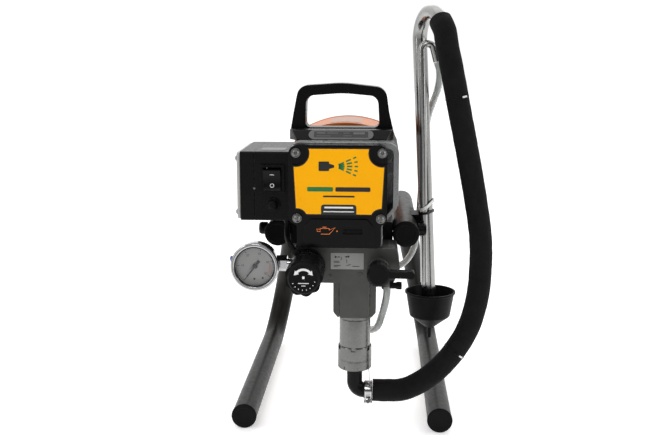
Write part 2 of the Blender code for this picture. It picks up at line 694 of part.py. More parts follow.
# ---- pump ---------------------------------------------------------------------------------------
def add_manifold():
    low, high = MANIFOLD_Z
    outline = rounded([
        (MANIFOLD_X[0], low + 0.004, 0.004), (-0.030, low, 0.004), (0.058, low, 0.006),
        (0.0655, 0.2130, 0.010), (MANIFOLD_X[1] - 0.001, high, 0.003), (MANIFOLD_X[0], high, 0.004),
    ])
    manifold = plate("manifold", "Y", outline, MANIFOLD_Y, "manifold_paint")
    soften(manifold, 0.0018, 1, 50)
    half = 0.0233
    neck_outline = rounded([
        (PUMP_X - half + 0.005, BLOCK_Z, 0.003), (PUMP_X + half - 0.005, BLOCK_Z, 0.003),
        (PUMP_X + half, BLOCK_Z + 0.006, 0.004), (PUMP_X + half, low + 0.004, 0),
        (PUMP_X - half, low + 0.004, 0), (PUMP_X - half, BLOCK_Z + 0.006, 0.004),
    ])
    neck = plate("neck_helper", "Y", neck_outline, (-0.0582, -0.0140), None)
    soften(neck, 0.003, 1, 50)
    panel = plate(
        "neck_panel_helper", "Y", rectangle(PUMP_X - 0.0160, PUMP_X + 0.0160, 0.160, 0.199, 0.003, 3),
        (-0.0600, -0.0500), None,
    )
    bore = [
        (0, 0.150), (0.0100, 0.150), (0.0100, 0.2265), (0.0135, 0.2265), (0.0135, 0.240), (0, 0.240),
    ]
    bore_tool = lathe("pump_bore_cutter", bore, (PUMP_X, PUMP_Y, 0), "Z", None, count=18)
    join(manifold, neck)
    join(manifold, panel)
    cut(manifold, bore_tool)


def add_pump():
    axis = (PUMP_X, PUMP_Y, 0)
    nut = [
        (0.0064, 0.2268), (0.0130, 0.2268), (0.0130, 0.2385), (0.0120, 0.2395), (0.0064, 0.2395),
    ]
    lathe("packing_nut", nut, axis, "Z", "steel", count=18)
    lathe("rod_packing", ring_profile(0.0063, 0.0097, 0.2040, 0.2262), axis, "Z", "packing", count=16)
    barrel = [
        (0.0125, 0.1038), (0.0165, 0.1038), (0.0173, 0.1048), (0.0173, 0.1545), (0.0165, 0.1556),
        (0.0125, 0.1556),
    ]
    lathe("pump_cylinder", barrel, axis, "Z", "steel", count=20)
    ring = [
        (0.0101, 0.0930), (0.0178, 0.0930), (0.0187, 0.0940), (0.0187, 0.1185), (0.0182, 0.1195),
        (0.0176, 0.1195), (0.0176, 0.0965), (0.0101, 0.0965),
    ]
    lathe("foot_valve_nut", ring, axis, "Z", "steel", count=20)
    seat = [(0.0045, 0.0968), (0.0172, 0.0968), (0.0172, 0.1035), (0.0045, 0.1035)]
    lathe("inlet_seat", seat, axis, "Z", "steel", count=18)
    add_ball("inlet_ball", 0.0065, 0.1035 + sqrt(0.0065**2 - 0.0045**2) + GAP)
    add_piston()
    add_ball("outlet_ball", 0.0040, 0.1235 + sqrt(0.0040**2 - 0.0028**2) + GAP)
    path = fillet_path(
        [(PUMP_X, PUMP_Y, 0.0965), (PUMP_X, PUMP_Y, ELBOW_Z), (0.0365, PUMP_Y, ELBOW_Z)], 0.0105, 6
    )
    elbow = sweep("inlet_elbow", path, 0.0086, "black_plastic", 0.0060, 14)
    collar = ring_profile(0.0080, 0.0098, 0.0270, 0.0365)
    join(elbow, lathe("elbow_collar_helper", collar, (0, PUMP_Y, ELBOW_Z), "X", None, count=20))
    clamp = ring_profile(0.0102, 0.0118, 0.0280, 0.0360)
    lathe("hose_clamp", clamp, (0, PUMP_Y, ELBOW_Z), "X", "chrome", count=20)


def add_ball(name, radius, z):
    rings = [(radius * sin(pi * k / 8), radius * -cos(pi * k / 8)) for k in range(1, 8)]
    profile = [(0, -radius), *rings, (0, radius)]
    lathe(name, profile, (PUMP_X, PUMP_Y, z), "Z", "steel", count=14)


def add_piston():
    rod = [
        (0.0028, 0.1200), (0.0118, 0.1200), (0.0122, 0.1208), (0.0122, 0.1292), (0.0118, 0.1300),
        (0.0060, 0.1300), (0.0060, 0.2445), (0, 0.2445), (0, 0.1420), (0.0045, 0.1420),
        (0.0045, 0.1235), (0.0028, 0.1235),
    ]
    axis = (PUMP_X, PUMP_Y, 0)
    piston = lathe("piston_rod", rod, axis, "Z", "steel", origin=(PUMP_X, PUMP_Y, 0.1200))
    head_z = CRANK_Z - STROKE / 2 - CONROD_LENGTH
    half, low, high = 0.0085, head_z - 0.0085, head_z + 0.0090
    outline = rounded([
        (PUMP_X - half, low, 0.002), (PUMP_X + half, low, 0.002),
        (PUMP_X + half, high, 0.0075), (PUMP_X - half, high, 0.0075),
    ])
    thick = (PUMP_Y - 0.0058, PUMP_Y + 0.0058)
    head = plate("rod_head_helper", "Y", outline, thick, None, [circle(PUMP_X, head_z, 0.0032, 16)])
    rod_end = lathe("rod_end_helper", disc_profile(0.0059, 0.2400, head_z - 0.0045), axis, "Z", None)
    join(piston, rod_end)
    join(piston, head)


# ---- pressure control, gauge and prime valve ----------------------------------------------------
def add_pressure_control():
    axis = (KNOB_X, 0, KNOB_Z)
    back = MANIFOLD_Y[0] - GAP
    housing = [
        (0, back - 0.0270), (0.0130, back - 0.0270), (0.0130, back - 0.0220), (0.0175, back - 0.0215),
        (0.0186, back - 0.0195), (0.0186, back), (0, back),
    ]
    lathe("control_housing", housing, axis, "Y", "black_plastic", count=20)
    knob_y = (-0.1180, back - 0.0275)
    lobes, outline = 9, []
    for k in range(lobes * 4):
        angle = 2 * pi * k / (lobes * 4)
        radius = 0.0187 + 0.0010 * cos(lobes * angle)
        outline.append((KNOB_X + radius * cos(angle), KNOB_Z + radius * sin(angle)))
    knob = plate(
        "pressure_knob", "Y", outline, knob_y, "black_plastic", origin=(KNOB_X, knob_y[1], KNOB_Z)
    )
    cable = smooth_path(
        [(-0.0580, -0.0330, 0.2590), (-0.0585, -0.0380, 0.2500), (-0.0570, -0.0500, 0.2430),
         (-0.0540, -0.0620, 0.2400), (-0.0502, -0.0680, 0.2361), (-0.0456, -0.0700, 0.2300)], 12
    )
    cord("control_cable", cable, CABLE_R, "black_plastic")


def add_gauge():
    front, back = -0.0555, -0.0275
    axis = (GAUGE_X, 0, GAUGE_Z)
    case = [
        (0, back), (0.0228, back), (0.0238, back - 0.0012), (0.0238, front + 0.0115),
        (0.0262, front + 0.0103), (0.0262, front + 0.0050), (GAUGE_R, front + 0.0040), (GAUGE_R, front + 0.0010), (GAUGE_R - 0.0010, front), (0.0222, front),
        (0.0222, front + 0.0020), (0.0245, front + 0.0022), (0.0245, front + 0.0085), (0, front + 0.0085),
    ]
    gauge = lathe("gauge_case", case, axis, "Y", "chrome", count=20)
    stem_y, stem_z = -0.0385, 0.2120
    hexagon = circle(stem_y, stem_z, 0.0090, 6, radians(30))
    stem = plate("gauge_stem_helper", "X", hexagon, (GAUGE_X + 0.0232, MANIFOLD_X[0] - GAP), None)
    join(gauge, stem)
    glass = disc_profile(0.0240, front + 0.0026, front + 0.0044)
    lathe("gauge_glass", glass, axis, "Y", "clear", count=20)
    swing = radians(-143)
    needle = [
        (-0.0012, -0.0070), (0.0012, -0.0070), (0.0012, 0.0), (0.0003, 0.0165), (-0.0003, 0.0165),
        (-0.0012, 0.0),
    ]
    outline = [
        (GAUGE_X + x * cos(swing) + z * sin(swing), GAUGE_Z - x * sin(swing) + z * cos(swing))
        for x, z in needle
    ]
    pivot, thick = (GAUGE_X, front + 0.0062, GAUGE_Z), (front + 0.0058, front + 0.0066)
    hand = plate("gauge_needle", "Y", outline, thick, "black_plastic", origin=pivot)
    hub = disc_profile(0.0026, front + 0.0052, front + 0.0070)
    join(hand, lathe("needle_hub_helper", hub, axis, "Y", None, count=14))


def add_prime_valve():
    axis = (PRIME_X, 0, PRIME_Z)
    back = MANIFOLD_Y[0] - GAP
    body = [
        (0, back - 0.0180), (0.0060, back - 0.0180), (0.0060, back - 0.0150), (0.0118, back - 0.0150),
        (0.0118, back - 0.0110), (0.0105, back - 0.0100), (0.0105, back), (0, back),
    ]
    lathe("prime_valve_body", body, axis, "Y", "steel", count=18)
    knob_y = (-0.0960, back - 0.0153)
    knob = [
        (0, knob_y[0]), (0.0105, knob_y[0]), (0.0125, knob_y[0] + 0.002), (0.0125, knob_y[1]),
        (0.0063, knob_y[1]), (0.0063, knob_y[1] - 0.0035), (0, knob_y[1] - 0.0035),
    ]
    origin = (PRIME_X, knob_y[1], PRIME_Z)
    lever = lathe("prime_lever", knob, axis, "Y", "black_plastic", origin=origin, count=24)
    bar = rounded([
        (PRIME_X + 0.006, 0.2092, 0.001), (0.0798, 0.2092, 0.003),
        (0.0798, 0.2182, 0.003), (PRIME_X + 0.006, 0.2182, 0.001),
    ])
    join(lever, plate("lever_bar_helper", "Y", bar, (-0.0940, -0.0830), None))
    low = MANIFOLD_Z[0] - GAP
    barb = [
        (0, low + 0.004), (0.0058, low + 0.004), (0.0058, low - 0.0030), (0.0048, low - 0.0050),
        (0, low - 0.0050),
    ]
    spout = lathe("drain_spout_helper", barb, (0.0515, -0.0490, 0), "Z", None, count=16)
    join(bpy.data.objects["manifold"], spout)
    outlet = [
        (0, low), (0.0072, low), (0.0072, low - 0.0050), (0.0055, low - 0.0060),
        (0.0055, low - 0.0150), (0, low - 0.0150),
    ]
    lathe("outlet_fitting", outlet, (0.0510, -0.0240, 0), "Z", "steel", count=16)


# ---- siphon set ---------------------------------------------------------------------------------
def suction_axis(z):
    """Where the suction tube's axis is at a height; it leans out a little towards its foot."""
    top, foot = (0.0865, 0.456), (0.1028, 0.152)
    share = (z - foot[1]) / (top[1] - foot[1])
    return Vector((foot[0] + (top[0] - foot[0]) * share, SUCTION_Y, z))


def add_siphon_tubes():
    straight = [suction_axis(0.1350), suction_axis(0.30), suction_axis(0.456)]
    reach, heading = 0.030, Vector((0.37, -0.929, 0))
    top = straight[-1]
    arch = []
    for k in range(1, 11):
        angle = radians(140) * k / 10
        arch.append(top + heading * reach * (1 - cos(angle)) + Vector((0, 0, reach * sin(angle))))
    sweep("suction_tube", straight + arch, SUCTION_R, "steel", SUCTION_R - 0.0012, 12)
    mouth, way = arch[-1], (arch[-1] - arch[-2]).normalized()

    leg_top, leg_foot = Vector((0.0885, RETURN_Y, 0.4440)), Vector((0.0962, RETURN_Y, 0.1740))
    bend = 0.0068
    hook = [
        leg_top + Vector((bend * (1 - cos(a)), 0, bend * sin(a)))
        for a in (radians(165) * k / 6 for k in range(1, 7))
    ]
    drop = Vector((0.26, 0, -0.966))
    tail = hook[-1] + drop * 0.0155
    sweep("return_tube", [leg_foot, leg_top, *hook, tail], RETURN_R, "steel", RETURN_R - 0.0008, 10)
    return mouth, way, tail, drop


def add_clip_and_cup():
    span = (0.2360, 0.2530)
    outline = rounded([
        (0.0790, 0.0440, 0.001), (0.0965, 0.0440, 0.002), (0.0965, 0.0640, 0), (0.1065, 0.0640, 0.002),
        (0.1065, 0.0765, 0.001), (0.0790, 0.0765, 0.001),
    ])
    clip = plate("tube_clip", "Z", outline, span, "black_plastic")
    low, high = suction_axis(0.20), suction_axis(0.29)
    siphon_cut = sweep("clip_siphon_cutter", [low, high], SUCTION_R + GAP, None, 0.0, 18)
    notch = disc_profile(TUBE_R + GAP, 0.030, 0.090)
    frame_cut = lathe("clip_frame_cutter", notch, (UPPER_X, 0, UPPER_Z), "Y", None, count=24)
    cut(clip, siphon_cut)
    cut(clip, frame_cut)
    wall, z = 0.0020, CUP_Z
    cup = [
        (0, z - 0.0580), (0.0023, z - 0.0580), (0.0028, z - 0.0450), (0.0060, z - 0.0440),
        (0.0240, z - 0.0300), (CUP_R - 0.0012, z - 0.0030), (CUP_R, z - 0.0020), (CUP_R, z),
        (CUP_R - wall, z), (0.0240 - wall, z - 0.0285), (0.0045, z - 0.0415), (0, z - 0.0415),
    ]
    lathe("drip_cup", cup, (CUP_X, CUP_Y, 0), "Z", "black_plastic", count=20)
    back = CUP_Y + CUP_R + GAP
    strap = plate(
        "cup_strap_helper", "Y", rectangle(0.0960, 0.1060, CUP_Z - 0.0250, 0.2500, 0.002, 3),
        (back, back + 0.0020), None,
    )
    join(clip, strap)


def add_hoses(mouth, way, tail, drop):
    start = Vector((0.0368, PUMP_Y, ELBOW_Z))
    suction = smooth_path([
        start, (0.0520, PUMP_Y, ELBOW_Z), (0.0720, -0.0345, 0.0668), (0.0925, -0.0320, 0.0760),
        (0.1140, -0.0290, 0.0935), (0.1320, -0.0260, 0.1160), (0.1450, -0.0230, 0.1410),
        (0.1530, -0.0205, 0.1720), (0.1555, -0.0190, 0.2060), (0.1545, -0.0180, 0.2400),
        (0.1475, -0.0175, 0.2850), (0.1375, -0.0170, 0.3350), (0.1275, -0.0165, 0.3820),
        (0.1195, -0.0160, 0.4200), (0.1135, -0.0120, 0.4480), mouth + way * 0.0162, mouth + way * 0.0010,
    ], 26)
    cord("suction_hose", suction, HOSE_R, "foam")
    drain = smooth_path([
        (0.0515, -0.0490, 0.1896), (0.0513, -0.0487, 0.1790), (0.0470, -0.0380, 0.1560),
        (0.0400, -0.0150, 0.1320), (0.0270, 0.0150, 0.1220), (0.0150, 0.0520, 0.1250),
        (0.0180, 0.0900, 0.1410), (0.0350, 0.1200, 0.1550), (0.0570, 0.1400, 0.1620),
        (0.0765, 0.1490, 0.1715), (0.0875, 0.1515, 0.1890), (0.0915, 0.1500, 0.2120),
        (0.0938, 0.1440, 0.2400), (0.0950, 0.1370, 0.2750),
        (0.0955, 0.1200, 0.3200), (0.0995, 0.0850, 0.3650), (0.1080, 0.0480, 0.4000),
        tail + drop * 0.0120, tail + drop * 0.0006,
    ], 36)
    cord("drain_hose", drain, DRAIN_R, "clear")


def main():
    for old in list(bpy.data.objects):
        bpy.data.objects.remove(old, do_unlink=True)
    root = bpy.data.objects.new("sprayer_root", None)
    bpy.context.scene.collection.objects.link(root)
    root.location = ROOT
    add_frame("left", -1)
    add_frame("right", 1)
    add_gear_train()
    add_motor()
    add_connecting_rod()
    add_housing()
    add_cover()
    add_handle()
    add_control_box()
    add_switch()
    add_reset_button()
    add_manifold()
    add_pump()
    add_pressure_control()
    add_gauge()
    add_prime_valve()
    ends = add_siphon_tubes()
    add_clip_and_cup()
    add_hoses(*ends)
    bpy.context.view_layer.update()


main()
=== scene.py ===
"""Looks of the airless paint sprayer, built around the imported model.

Metres. Pieces are described in the machine's own frame: X = 0 on its centre plane, Y = 0 at the front
of the runners and Z = 0 on the floor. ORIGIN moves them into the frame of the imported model.
"""

from math import acos, atan2, cos, pi, radians, sin, sqrt, tan

import bmesh
import bpy
from mathutils import Matrix, Vector, noise
from mathutils.geometry import interpolate_bezier, tessellate_polygon


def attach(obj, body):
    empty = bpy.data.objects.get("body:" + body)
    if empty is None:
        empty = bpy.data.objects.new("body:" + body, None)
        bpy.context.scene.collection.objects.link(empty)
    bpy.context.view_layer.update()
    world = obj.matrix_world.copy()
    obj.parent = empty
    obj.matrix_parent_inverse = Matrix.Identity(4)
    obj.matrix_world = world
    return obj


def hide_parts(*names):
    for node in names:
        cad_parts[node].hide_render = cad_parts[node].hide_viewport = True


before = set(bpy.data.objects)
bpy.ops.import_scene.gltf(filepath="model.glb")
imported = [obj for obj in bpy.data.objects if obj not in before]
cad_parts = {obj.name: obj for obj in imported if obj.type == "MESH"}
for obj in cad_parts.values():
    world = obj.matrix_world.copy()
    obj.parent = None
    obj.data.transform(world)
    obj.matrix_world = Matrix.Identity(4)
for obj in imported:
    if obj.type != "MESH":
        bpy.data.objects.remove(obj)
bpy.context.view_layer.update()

ORIGIN = Vector((-0.0015, -0.1223, 0.0))
GAP = 0.0003
PRINT = 0.00012                     # thickness of printed marks and films
TUBE_R, TUBE_WALL, CAP_R, BEND_R = 0.0145, 0.002, 0.015, 0.06
UPPER_X, UPPER_Z, RUNNER_X = 0.0725, 0.24, 0.116
PUMP = Vector((0.0165, -0.0355, 0.0))
HOUSING_Y, COVER_Y, MOTOR_Y = (-0.056, 0.082), (-0.077, -0.0563), (0.0825, 0.205)
MOTOR_Z = 0.305
SCREW_XZ = [(-0.045, 0.3385), (0.045, 0.3385), (-0.044, 0.2695), (0.044, 0.2695)]
BOX_X, BOX_Y, BOX_Z = (-0.1086, -0.0545), (-0.045, 0.065), (0.2608, 0.3363)
BOX_SEAM_X = -0.093
SWITCH, BUTTON, GLAND = (-0.0732, 0.307), (-0.0727, 0.2785), (-0.074, 0.285)
MANIFOLD_Y, MANIFOLD_Z, MANIFOLD_X = (-0.06, -0.012), (0.1957, 0.2345), (-0.05, 0.063)
KNOB, PRIME = (-0.034, 0.2145), (0.0423, 0.2132)
GAUGE, GAUGE_R = (-0.0929, 0.2108), 0.0267
GAUGE_ZERO = -143                   # start of its scale, in degrees from the top
ELBOW_Z = 0.0655
SUCTION_R, RETURN_R, SUCTION_Y, RETURN_Y = 0.0083, 0.0043, 0.05, 0.0362
CUP, CUP_R, CUP_Z = (0.104, 0.045), 0.03, 0.161
HOSE_R, DRAIN_R, CABLE_R = 0.0127, 0.004, 0.003


def at(x, y, z):
    """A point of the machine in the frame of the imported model."""
    return Vector((x, y, z)) + ORIGIN


# ---- materials ----------------------------------------------------------------------------------
def noise_at(tree, coords, scale, detail=4.0, stretch=None):
    if stretch:
        mapping = tree.nodes.new("ShaderNodeMapping")
        mapping.inputs["Scale"].default_value = stretch
        tree.links.new(coords, mapping.inputs["Vector"])
        coords = mapping.outputs["Vector"]
    texture = tree.nodes.new("ShaderNodeTexNoise")
    texture.inputs["Scale"].default_value = scale
    texture.inputs["Detail"].default_value = detail
    tree.links.new(coords, texture.inputs["Vector"])
    return texture.outputs["Fac"]


def spread(tree, value, low, high, start=0.35, end=0.65):
    node = tree.nodes.new("ShaderNodeMapRange")
    for socket, number in zip(("From Min", "From Max", "To Min", "To Max"), (start, end, low, high)):
        node.inputs[socket].default_value = number
    tree.links.new(value, node.inputs["Value"])
    return node.outputs["Result"]


def shade_between(tree, value, dark, light, start=0.3, end=0.7):
    ramp = tree.nodes.new("ShaderNodeValToRGB")
    for element, place, colour in zip(ramp.color_ramp.elements, (start, end), (dark, light)):
        element.position, element.color = place, (*colour, 1.0)
    tree.links.new(value, ramp.inputs["Fac"])
    return ramp.outputs["Color"]


def edge_mask(tree, coords, width, amount):
    """High on the outer edges, broken up by noise."""
    bevel, geometry = tree.nodes.new("ShaderNodeBevel"), tree.nodes.new("ShaderNodeNewGeometry")
    bevel.samples = 4
    bevel.inputs["Radius"].default_value = width
    dot, times = tree.nodes.new("ShaderNodeVectorMath"), tree.nodes.new("ShaderNodeMath")
    dot.operation, times.operation = "DOT_PRODUCT", "MULTIPLY"
    tree.links.new(bevel.outputs["Normal"], dot.inputs[0])
    tree.links.new(geometry.outputs["Normal"], dot.inputs[1])
    tree.links.new(spread(tree, dot.outputs["Value"], amount, 0.0, 0.86, 0.985), times.inputs[0])
    tree.links.new(spread(tree, noise_at(tree, coords, 260, 5), 0.0, 1.0, 0.42, 0.62), times.inputs[1])
    return times.outputs["Value"]


BUMP_DEPTH, WEAR_WIDTH = 0.0004, 0.0011


def finish(name, colour, rough, metal=0.0, vary=0.12, patch=45.0, rough_vary=0.06, grain=0.0,
           grain_scale=1800.0, streak=None, wear=None, **sockets):
    """A Principled material with patchy colour, uneven gloss, surface grain and worn edges.

    `streak` stretches a second grain along an axis, as on turned or drawn metal.
    """
    made = bpy.data.materials.new(name)
    made.use_nodes = True
    tree = made.node_tree
    shader = tree.nodes["Principled BSDF"]
    coords = tree.nodes.new("ShaderNodeTexCoord").outputs["Object"]
    dark, light = [tuple(min(1.0, c * (1 + s * vary)) for c in colour) for s in (-1, 1)]
    base = shade_between(tree, noise_at(tree, coords, patch, 5), dark, light)
    gloss = spread(tree, noise_at(tree, coords, patch * 6, 6), rough - rough_vary, rough + rough_vary)
    if wear:
        wear_colour, amount = wear
        mask = edge_mask(tree, coords, WEAR_WIDTH, amount)
        mix = tree.nodes.new("ShaderNodeMix")
        mix.data_type = "RGBA"
        tree.links.new(mask, mix.inputs[0])
        tree.links.new(base, mix.inputs[6])
        mix.inputs[7].default_value = (*wear_colour, 1.0)
        base = mix.outputs[2]
    tree.links.new(base, shader.inputs["Base Color"])
    tree.links.new(gloss, shader.inputs["Roughness"])
    shader.inputs["Metallic"].default_value = metal
    if grain:
        height = noise_at(tree, coords, grain_scale, 3)
        if streak:
            total = tree.nodes.new("ShaderNodeMath")
            total.operation = "ADD"
            tree.links.new(height, total.inputs[0])
            tree.links.new(noise_at(tree, coords, 1.0, 2, streak), total.inputs[1])
            height = total.outputs["Value"]
        bump = tree.nodes.new("ShaderNodeBump")
        bump.inputs["Strength"].default_value = grain
        bump.inputs["Distance"].default_value = BUMP_DEPTH
        tree.links.new(height, bump.inputs["Height"])
        tree.links.new(bump.outputs["Normal"], shader.inputs["Normal"])
    for socket, value in sockets.items():
        shader.inputs[socket.replace("_", " ")].default_value = value
    return made


STEEL = (0.165, 0.165, 0.16)
LOOKS = {
    "tube_paint": finish("tube_paint", (0.0085, 0.0078, 0.0068), 0.4, 0.04, 0.2, 30, 0.05, 0.06, 900,
                         Specular_IOR_Level=0.14),
    "black": finish("black_satin", (0.003, 0.003, 0.0033), 0.3, 0.0, 0.25, 60, 0.06, 0.1, 2200,
                    wear=((0.03, 0.03, 0.03), 0.5), Specular_IOR_Level=0.12),
    "black_gloss": finish("black_gloss", (0.0026, 0.0026, 0.0029), 0.16, 0.0, 0.25, 50, 0.05, 0.05, 1500,
                          wear=((0.03, 0.03, 0.03), 0.4), Specular_IOR_Level=0.16),
    "black_matt": finish("black_matt", (0.0034, 0.0034, 0.0037), 0.46, 0.0, 0.25, 80, 0.08, 0.25, 2600,
                         wear=((0.03, 0.03, 0.03), 0.35), Specular_IOR_Level=0.1),
    "cast": finish("cast_silver_paint", (0.24, 0.243, 0.246), 0.32, 0.6, 0.14, 40, 0.07, 0.16, 1500,
                   wear=((0.62, 0.62, 0.62), 0.5)),
    "yellow": finish("yellow_film", (1.0, 0.44, 0.0), 0.3, 0.0, 0.03, 25, 0.04, 0.03, 800,
                     Specular_IOR_Level=0.15),
    "orange": finish("orange_shell", (0.62, 0.165, 0.022), 0.36, 0.0, 0.07, 35, 0.05, 0.06, 1500,
                     wear=((0.9, 0.4, 0.12), 0.3), Specular_IOR_Level=0.22),
    "box": finish("black_wrinkle_paint", (0.0028, 0.0028, 0.003), 0.34, 0.0, 0.25, 70, 0.08, 0.3, 1500,
                  wear=((0.07, 0.07, 0.07), 0.6), Specular_IOR_Level=0.14),
    "manifold": finish("grey_coating", (0.07, 0.07, 0.067), 0.34, 0.6, 0.16, 30, 0.06, 0.12, 1300,
                       wear=((0.26, 0.26, 0.25), 0.6), Specular_IOR_Level=0.3),
    "steel": finish("turned_steel", STEEL, 0.3, 1.0, 0.07, 60, 0.04, 0.02, 900,
                    streak=(20, 20, 800)),
    "steel_y": finish("turned_steel_across", STEEL, 0.3, 1.0, 0.07, 60, 0.04, 0.02, 900,
                      streak=(20, 800, 20)),
    "drawn": finish("drawn_tube_steel", (0.33, 0.33, 0.325), 0.2, 1.0, 0.08, 50, 0.04, 0.02, 900,
                    streak=(500, 500, 8)),
    "chrome": finish("polished_chrome", (0.5, 0.5, 0.51), 0.1, 1.0, 0.04, 60, 0.03, 0.01, 600),
    "plate": finish("light_grey_plate", (0.5, 0.5, 0.49), 0.42, 0.4, 0.06, 40, 0.06, 0.1, 1200,
                    wear=((0.7, 0.7, 0.7), 0.4)),
    "foam": finish("black_foam", (0.0056, 0.0056, 0.0057), 0.78, 0.0, 0.25, 90, 0.06, 0.8, 1500,
                   Specular_IOR_Level=0.12),
    "vinyl": finish("clear_vinyl", (0.58, 0.6, 0.585), 0.16, 0.0, 0.04, 60, 0.04, 0.05, 500,
                    Transmission_Weight=0.62, IOR=1.42),
    "glass": finish("clear_glass", (1.0, 1.0, 1.0), 0.02, 0.0, 0.0, 60, 0.01, Transmission_Weight=1.0,
                    IOR=1.45),
    "white": finish("white_print", (0.8, 0.8, 0.79), 0.45, 0.0, 0.03, 60, 0.05, 0.04, 1500),
    "dial": finish("dial_white", (0.44, 0.44, 0.435), 0.5, 0.0, 0.03, 60, 0.04, 0.03, 1500),
    "ink": finish("black_print", (0.006, 0.006, 0.006), 0.42, 0.0, 0.1, 60, 0.05, 0.04, 1500),
    "green": finish("green_print", (0.006, 0.165, 0.04), 0.4, 0.0, 0.06, 60, 0.05, 0.04, 1500),
    "amber": finish("orange_print", (0.85, 0.2, 0.03), 0.42, 0.0, 0.05, 60, 0.05, 0.04, 1500),
    "grey_film": finish("grey_label_film", (0.115, 0.115, 0.115), 0.38, 0.2, 0.06, 60, 0.05, 0.04, 1500),
    "dark_film": finish("dark_label_film", (0.026, 0.026, 0.027), 0.36, 0.1, 0.08, 60, 0.05, 0.04, 1500),
    "pale_film": finish("pale_label_film", (0.27, 0.27, 0.265), 0.42, 0.1, 0.05, 60, 0.05, 0.04, 1500),
    "warm_film": finish("warm_label_film", (0.46, 0.27, 0.2), 0.42, 0.0, 0.05, 60, 0.05, 0.04, 1500,
                        Specular_IOR_Level=0.2),
    "blue": finish("blue_rubber", (0.02, 0.05, 0.3), 0.5, 0.0, 0.1, 90, 0.06, 0.2, 1800),
    "copper": finish("copper_winding", (0.72, 0.3, 0.14), 0.3, 1.0, 0.1, 80, 0.06, 0.3, 500,
                     streak=(60, 60, 2600)),
    "packing": finish("packing_leather", (0.7, 0.62, 0.48), 0.62, 0.0, 0.15, 120, 0.08, 0.4, 900),
    "strap_white": finish("white_nylon", (0.66, 0.66, 0.64), 0.36, 0.0, 0.05, 80, 0.05, 0.08, 1500),
}


# ---- outlines and paths -------------------------------------------------------------------------
def rounded(corners, steps=6):
    """A closed outline from (u, v, radius) corners, each turned into an arc of its radius."""
    outline = []
    for i, (u, v, radius) in enumerate(corners):
        here = Vector((u, v))
        if radius == 0:
            outline.append((u, v))
            continue
        before = (Vector(corners[i - 1][:2]) - here).normalized()
        after = (Vector(corners[(i + 1) % len(corners)][:2]) - here).normalized()
        half = acos(max(-1, min(1, before.dot(after)))) / 2
        centre = here + (before + after).normalized() * radius / sin(half)
        start = here + before * radius / tan(half) - centre
        end = here + after * radius / tan(half) - centre
        first = atan2(start.y, start.x)
        turn = (atan2(end.y, end.x) - first + pi) % (2 * pi) - pi
        for k in range(steps + 1):
            angle = first + turn * k / steps
            outline.append((centre.x + radius * cos(angle), centre.y + radius * sin(angle)))
    return outline


def rectangle(u0, u1, v0, v1, radius=0.0, steps=6):
    return rounded([(u0, v0, radius), (u1, v0, radius), (u1, v1, radius), (u0, v1, radius)], steps)


def circle(u, v, radius, count=48, first=0.0):
    return [
        (u + radius * cos(first + 2 * pi * k / count), v + radius * sin(first + 2 * pi * k / count))
        for k in range(count)
    ]


def stroke(points, width, closed=False):
    """The outline of a line of one width through the points."""
    points = [Vector(p) for p in points]
    sides = [[], []]
    last = len(points) - 1
    for i, point in enumerate(points):
        before = points[i - 1] if i or closed else point
        after = points[(i + 1) % len(points)] if i < last or closed else point
        way = ((after - point).normalized() + (point - before).normalized()).normalized()
        normal = Vector((-way.y, way.x))
        sides[0].append(tuple(point + normal * width / 2))
        sides[1].append(tuple(point - normal * width / 2))
    return sides[0] + sides[1][::-1]


def arc(u, v, radius, first, last, count=20):
    """Points on an arc; the angles are in degrees, clockwise from the top as on a dial."""
    angles = [radians(first + (last - first) * k / count) for k in range(count + 1)]
    return [(u + radius * sin(a), v + radius * cos(a)) for a in angles]


def fillet_path(corners, radius, steps=12):
    points = [Vector(corners[0])]
    for a, b, c in zip(corners, corners[1:], corners[2:]):
        b = Vector(b)
        back, on = (Vector(a) - b).normalized(), (Vector(c) - b).normalized()
        half = acos(back.dot(on)) / 2
        centre = b + (back + on).normalized() * radius / sin(half)
        first, last = b + back * radius / tan(half) - centre, b + on * radius / tan(half) - centre
        whole = pi - 2 * half
        for k in range(steps + 1):
            angle = whole * k / steps
            points.append(centre + (first * sin(whole - angle) + last * sin(angle)) / sin(whole))
    return points + [Vector(corners[-1])]


def smooth_path(points, count):
    """Evenly spaced points on a smooth curve through the given ones."""
    points = [Vector(p) for p in points]
    padded = [2 * points[0] - points[1], *points, 2 * points[-1] - points[-2]]
    dense = []
    for a, b, c, d in zip(padded, padded[1:], padded[2:], padded[3:]):
        dense += interpolate_bezier(b, b + (c - a) / 6, c - (d - b) / 6, c, 24)[:-1]
    dense.append(points[-1])
    along = [0.0]
    for a, b in zip(dense, dense[1:]):
        along.append(along[-1] + (b - a).length)
    spaced, i = [], 0
    for k in range(count):
        want = along[-1] * k / (count - 1)
        while i < len(dense) - 2 and along[i + 1] < want:
            i += 1
        share = (want - along[i]) / max(along[i + 1] - along[i], 1e-9)
        spaced.append(dense[i].lerp(dense[i + 1], share))
    return spaced


# ---- solids -------------------------------------------------------------------------------------
AXES = {"X": (1, 2, 0), "Y": (0, 2, 1), "Z": (0, 1, 2)}     # the outline's two axes, then its depth's


def oriented(axis, u, v, w):
    """The point at (u, v) of an outline and w of its depth."""
    point = Vector((0, 0, 0))
    for index, number in zip(AXES[axis], (u, v, w)):
        point[index] = number
    return point


def around(axis, centre, radius, angle, along):
    """A point at an angle around an axis through the centre."""
    return Vector(centre) + oriented(axis, radius * cos(angle), radius * sin(angle), along)


def bridge(build, rings):
    """Faces between each ring of points and the next."""
    for one, other in zip(rings, rings[1:]):
        for i in range(len(one)):
            j = (i + 1) % len(one)
            build.faces.new((one[i], one[j], other[j], other[i]))


